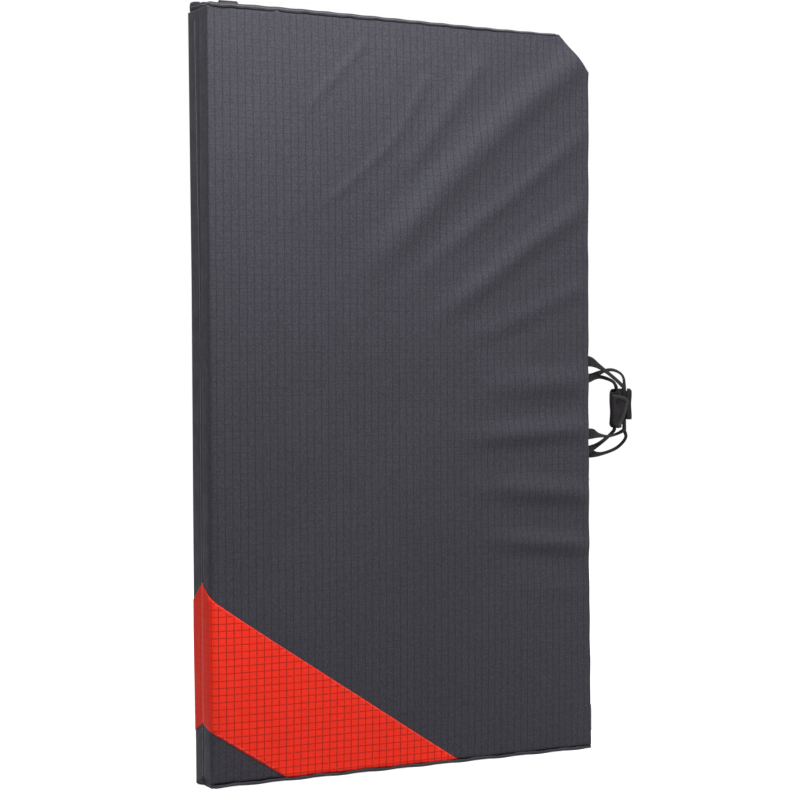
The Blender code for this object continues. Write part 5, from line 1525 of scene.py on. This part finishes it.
def add_floor():
    """A white floor that glows for the camera, less so close to the pad, so that a soft contact
    shadow shows there."""
    s = bpy.context.scene.pad_stage
    half, low = s.floor_size, -0.0005
    corners = [(-half, -half, low), (half, -half, low), (half, half, low), (-half, half, low)]
    mesh = bpy.data.meshes.new("studio_floor")
    mesh.from_pydata(corners, [], [(0, 1, 2, 3)])
    paper = bpy.data.materials.new("studio_floor")
    paper.use_nodes = True
    nodes = Nodes(paper.node_tree)
    nodes.tree.nodes.remove(nodes.tree.nodes["Principled BSDF"])
    matt, glow = nodes.add("ShaderNodeBsdfDiffuse"), nodes.add("ShaderNodeEmission")
    matt.inputs["Color"].default_value = (s.floor_grey, s.floor_grey, s.floor_grey, 1.0)
    away = nodes.add("ShaderNodeVectorMath", operation="LENGTH")
    nodes.join(nodes.add("ShaderNodeTexCoord").outputs["Object"], away.inputs[0])
    fade = nodes.spread(away.outputs["Value"], 0.2, 1.6, s.near_glow, 1.02 - 0.60 * s.ambient)
    nodes.join(nodes.math("MULTIPLY", seen_ray(nodes), fade), glow.inputs["Strength"])
    both = nodes.add("ShaderNodeAddShader")
    nodes.join(matt.outputs[0], both.inputs[0])
    nodes.join(glow.outputs[0], both.inputs[1])
    nodes.join(both.outputs[0], nodes.tree.nodes["Material Output"].inputs["Surface"])
    mesh.materials.append(paper)
    link("studio_floor", mesh)


def make_stage():
    s = bpy.context.scene.pad_stage
    bpy.context.scene.view_settings.view_transform = "Standard"
    add_camera(s.focal)
    add_world(s.ambient)
    add_floor()
    add_lamp("key_lamp", (-0.16, -0.85, 1.35), (-0.08, 0, 0.30), 0.8, s.key)
    add_lamp("fill_lamp", (-0.86, -0.24, 0.84), (-0.33, 0, 0.34), 0.5, s.fill)
    add_lamp("right_lamp", (0.9, -0.35, -0.05), (0.25, 0, -0.10), 0.5, s.fill * 0.5)
    add_lamp("back_lamp", (1.8, 2.3, 1.7), (0, 0, 0), 1.6, s.back)


# Operators

class PADDING_OT_covers(bpy.types.Operator):
    """Makes the two panels' padded covers with their folds"""
    bl_idname = "crash_pad.covers"
    bl_label = "Covers"

    def execute(self, context):
        for label, side, body, strength in SIDES:
            make_cover(label, side, body, strength)
        return {"FINISHED"}


class PADDING_OT_foams(bpy.types.Operator):
    """Makes the foam slabs inside the covers"""
    bl_idname = "crash_pad.foams"
    bl_label = "Foam slabs"

    def execute(self, context):
        for label, side, body, _ in SIDES:
            make_foams(label, side, body)
        return {"FINISHED"}


class PADDING_OT_bands(bpy.types.Operator):
    """Makes the coloured bands round the lower hinge corners"""
    bl_idname = "crash_pad.bands"
    bl_label = "Corner bands"

    def execute(self, context):
        for label, side, body, strength in SIDES:
            make_band(label, side, body, strength)
        return {"FINISHED"}


class PADDING_OT_seams(bpy.types.Operator):
    """Makes the fold seam's cord and the covers' topstitching"""
    bl_idname = "crash_pad.seams"
    bl_label = "Seams and stitches"

    def execute(self, context):
        make_fold_seam()
        make_foot_tuck()
        for label, side, body, _ in SIDES:
            make_hems(label, side, body)
            make_stitching(label, side, body)
        return {"FINISHED"}


class PADDING_OT_handles(bpy.types.Operator):
    """Makes the three strands of the carry handles"""
    bl_idname = "crash_pad.handles"
    bl_label = "Carry handles"

    def execute(self, context):
        make_handles()
        return {"FINISHED"}


class PADDING_OT_grip(bpy.types.Operator):
    """Makes the grip wrap and its closing flap"""
    bl_idname = "crash_pad.grip"
    bl_label = "Grip wrap"

    def execute(self, context):
        make_wrap()
        make_flap()
        return {"FINISHED"}


class PADDING_OT_grab_loop(bpy.types.Operator):
    """Makes the grab loop on the top end"""
    bl_idname = "crash_pad.grab_loop"
    bl_label = "Grab loop"

    def execute(self, context):
        make_grab_loop()
        return {"FINISHED"}


class PADDING_OT_zips(bpy.types.Operator):
    """Makes the tapes and coils of the foam access zips"""
    bl_idname = "crash_pad.zips"
    bl_label = "Zips"

    def execute(self, context):
        for label, _, body, _ in SIDES:
            make_zip(label, body)
        return {"FINISHED"}


class PADDING_OT_patches(bpy.types.Operator):
    """Makes the harness yoke and the anchor patches"""
    bl_idname = "crash_pad.patches"
    bl_label = "Harness patches"

    def execute(self, context):
        make_patches()
        return {"FINISHED"}


class PADDING_OT_straps(bpy.types.Operator):
    """Makes the shoulder pads, their webbing and the adjusters"""
    bl_idname = "crash_pad.straps"
    bl_label = "Shoulder straps"

    def execute(self, context):
        for label, side in STRAPS:
            make_shoulder_pad(label, side)
            make_shoulder_webbing(label, side)
            make_adjuster(label, side)
        return {"FINISHED"}


class PADDING_OT_belt(bpy.types.Operator):
    """Makes the two halves of the waist belt"""
    bl_idname = "crash_pad.belt"
    bl_label = "Waist belt"

    def execute(self, context):
        for label, side in STRAPS:
            make_belt(label, side)
        return {"FINISHED"}


class PADDING_OT_hardware(bpy.types.Operator):
    """Gives the buckles, locks and zip metal their finishes"""
    bl_idname = "crash_pad.hardware"
    bl_label = "Hardware finish"

    def execute(self, context):
        finish_hardware()
        return {"FINISHED"}


class PADDING_OT_stage(bpy.types.Operator):
    """Sets the floor, the lights and the camera"""
    bl_idname = "crash_pad.stage"
    bl_label = "Studio stage"

    def execute(self, context):
        make_stage()
        return {"FINISHED"}


OPERATORS = (PADDING_OT_covers, PADDING_OT_foams, PADDING_OT_bands, PADDING_OT_seams,
             PADDING_OT_handles, PADDING_OT_grip, PADDING_OT_grab_loop, PADDING_OT_zips,
             PADDING_OT_patches, PADDING_OT_straps, PADDING_OT_belt, PADDING_OT_hardware,
             PADDING_OT_stage)


class PADDING_PT_panel(bpy.types.Panel):
    bl_label = "Crash pad"
    bl_idname = "PADDING_PT_panel"
    bl_space_type = "VIEW_3D"
    bl_region_type = "UI"
    bl_category = "Crash pad"

    def draw(self, context):
        for operator in OPERATORS:
            self.layout.operator(operator.bl_idname)
        for name, group in GROUPS.items():
            box = self.layout.box()
            for key in group.__annotations__:
                box.prop(getattr(context.scene, name), key)


def register():
    for group in GROUPS.values():
        bpy.utils.register_class(group)
    for name, group in GROUPS.items():
        setattr(bpy.types.Scene, name, PointerProperty(type=group))
    for operator in OPERATORS:
        bpy.utils.register_class(operator)
    bpy.utils.register_class(PADDING_PT_panel)


def unregister():
    bpy.utils.unregister_class(PADDING_PT_panel)
    for operator in reversed(OPERATORS):
        bpy.utils.unregister_class(operator)
    for name, group in reversed(GROUPS.items()):
        delattr(bpy.types.Scene, name)
        bpy.utils.unregister_class(group)


def main():
    register()
    FINISHES.update(make_finishes())
    for operator in OPERATORS:
        group, action = operator.bl_idname.split(".")
        getattr(getattr(bpy.ops, group), action)()


if __name__ == "__main__":
    main()
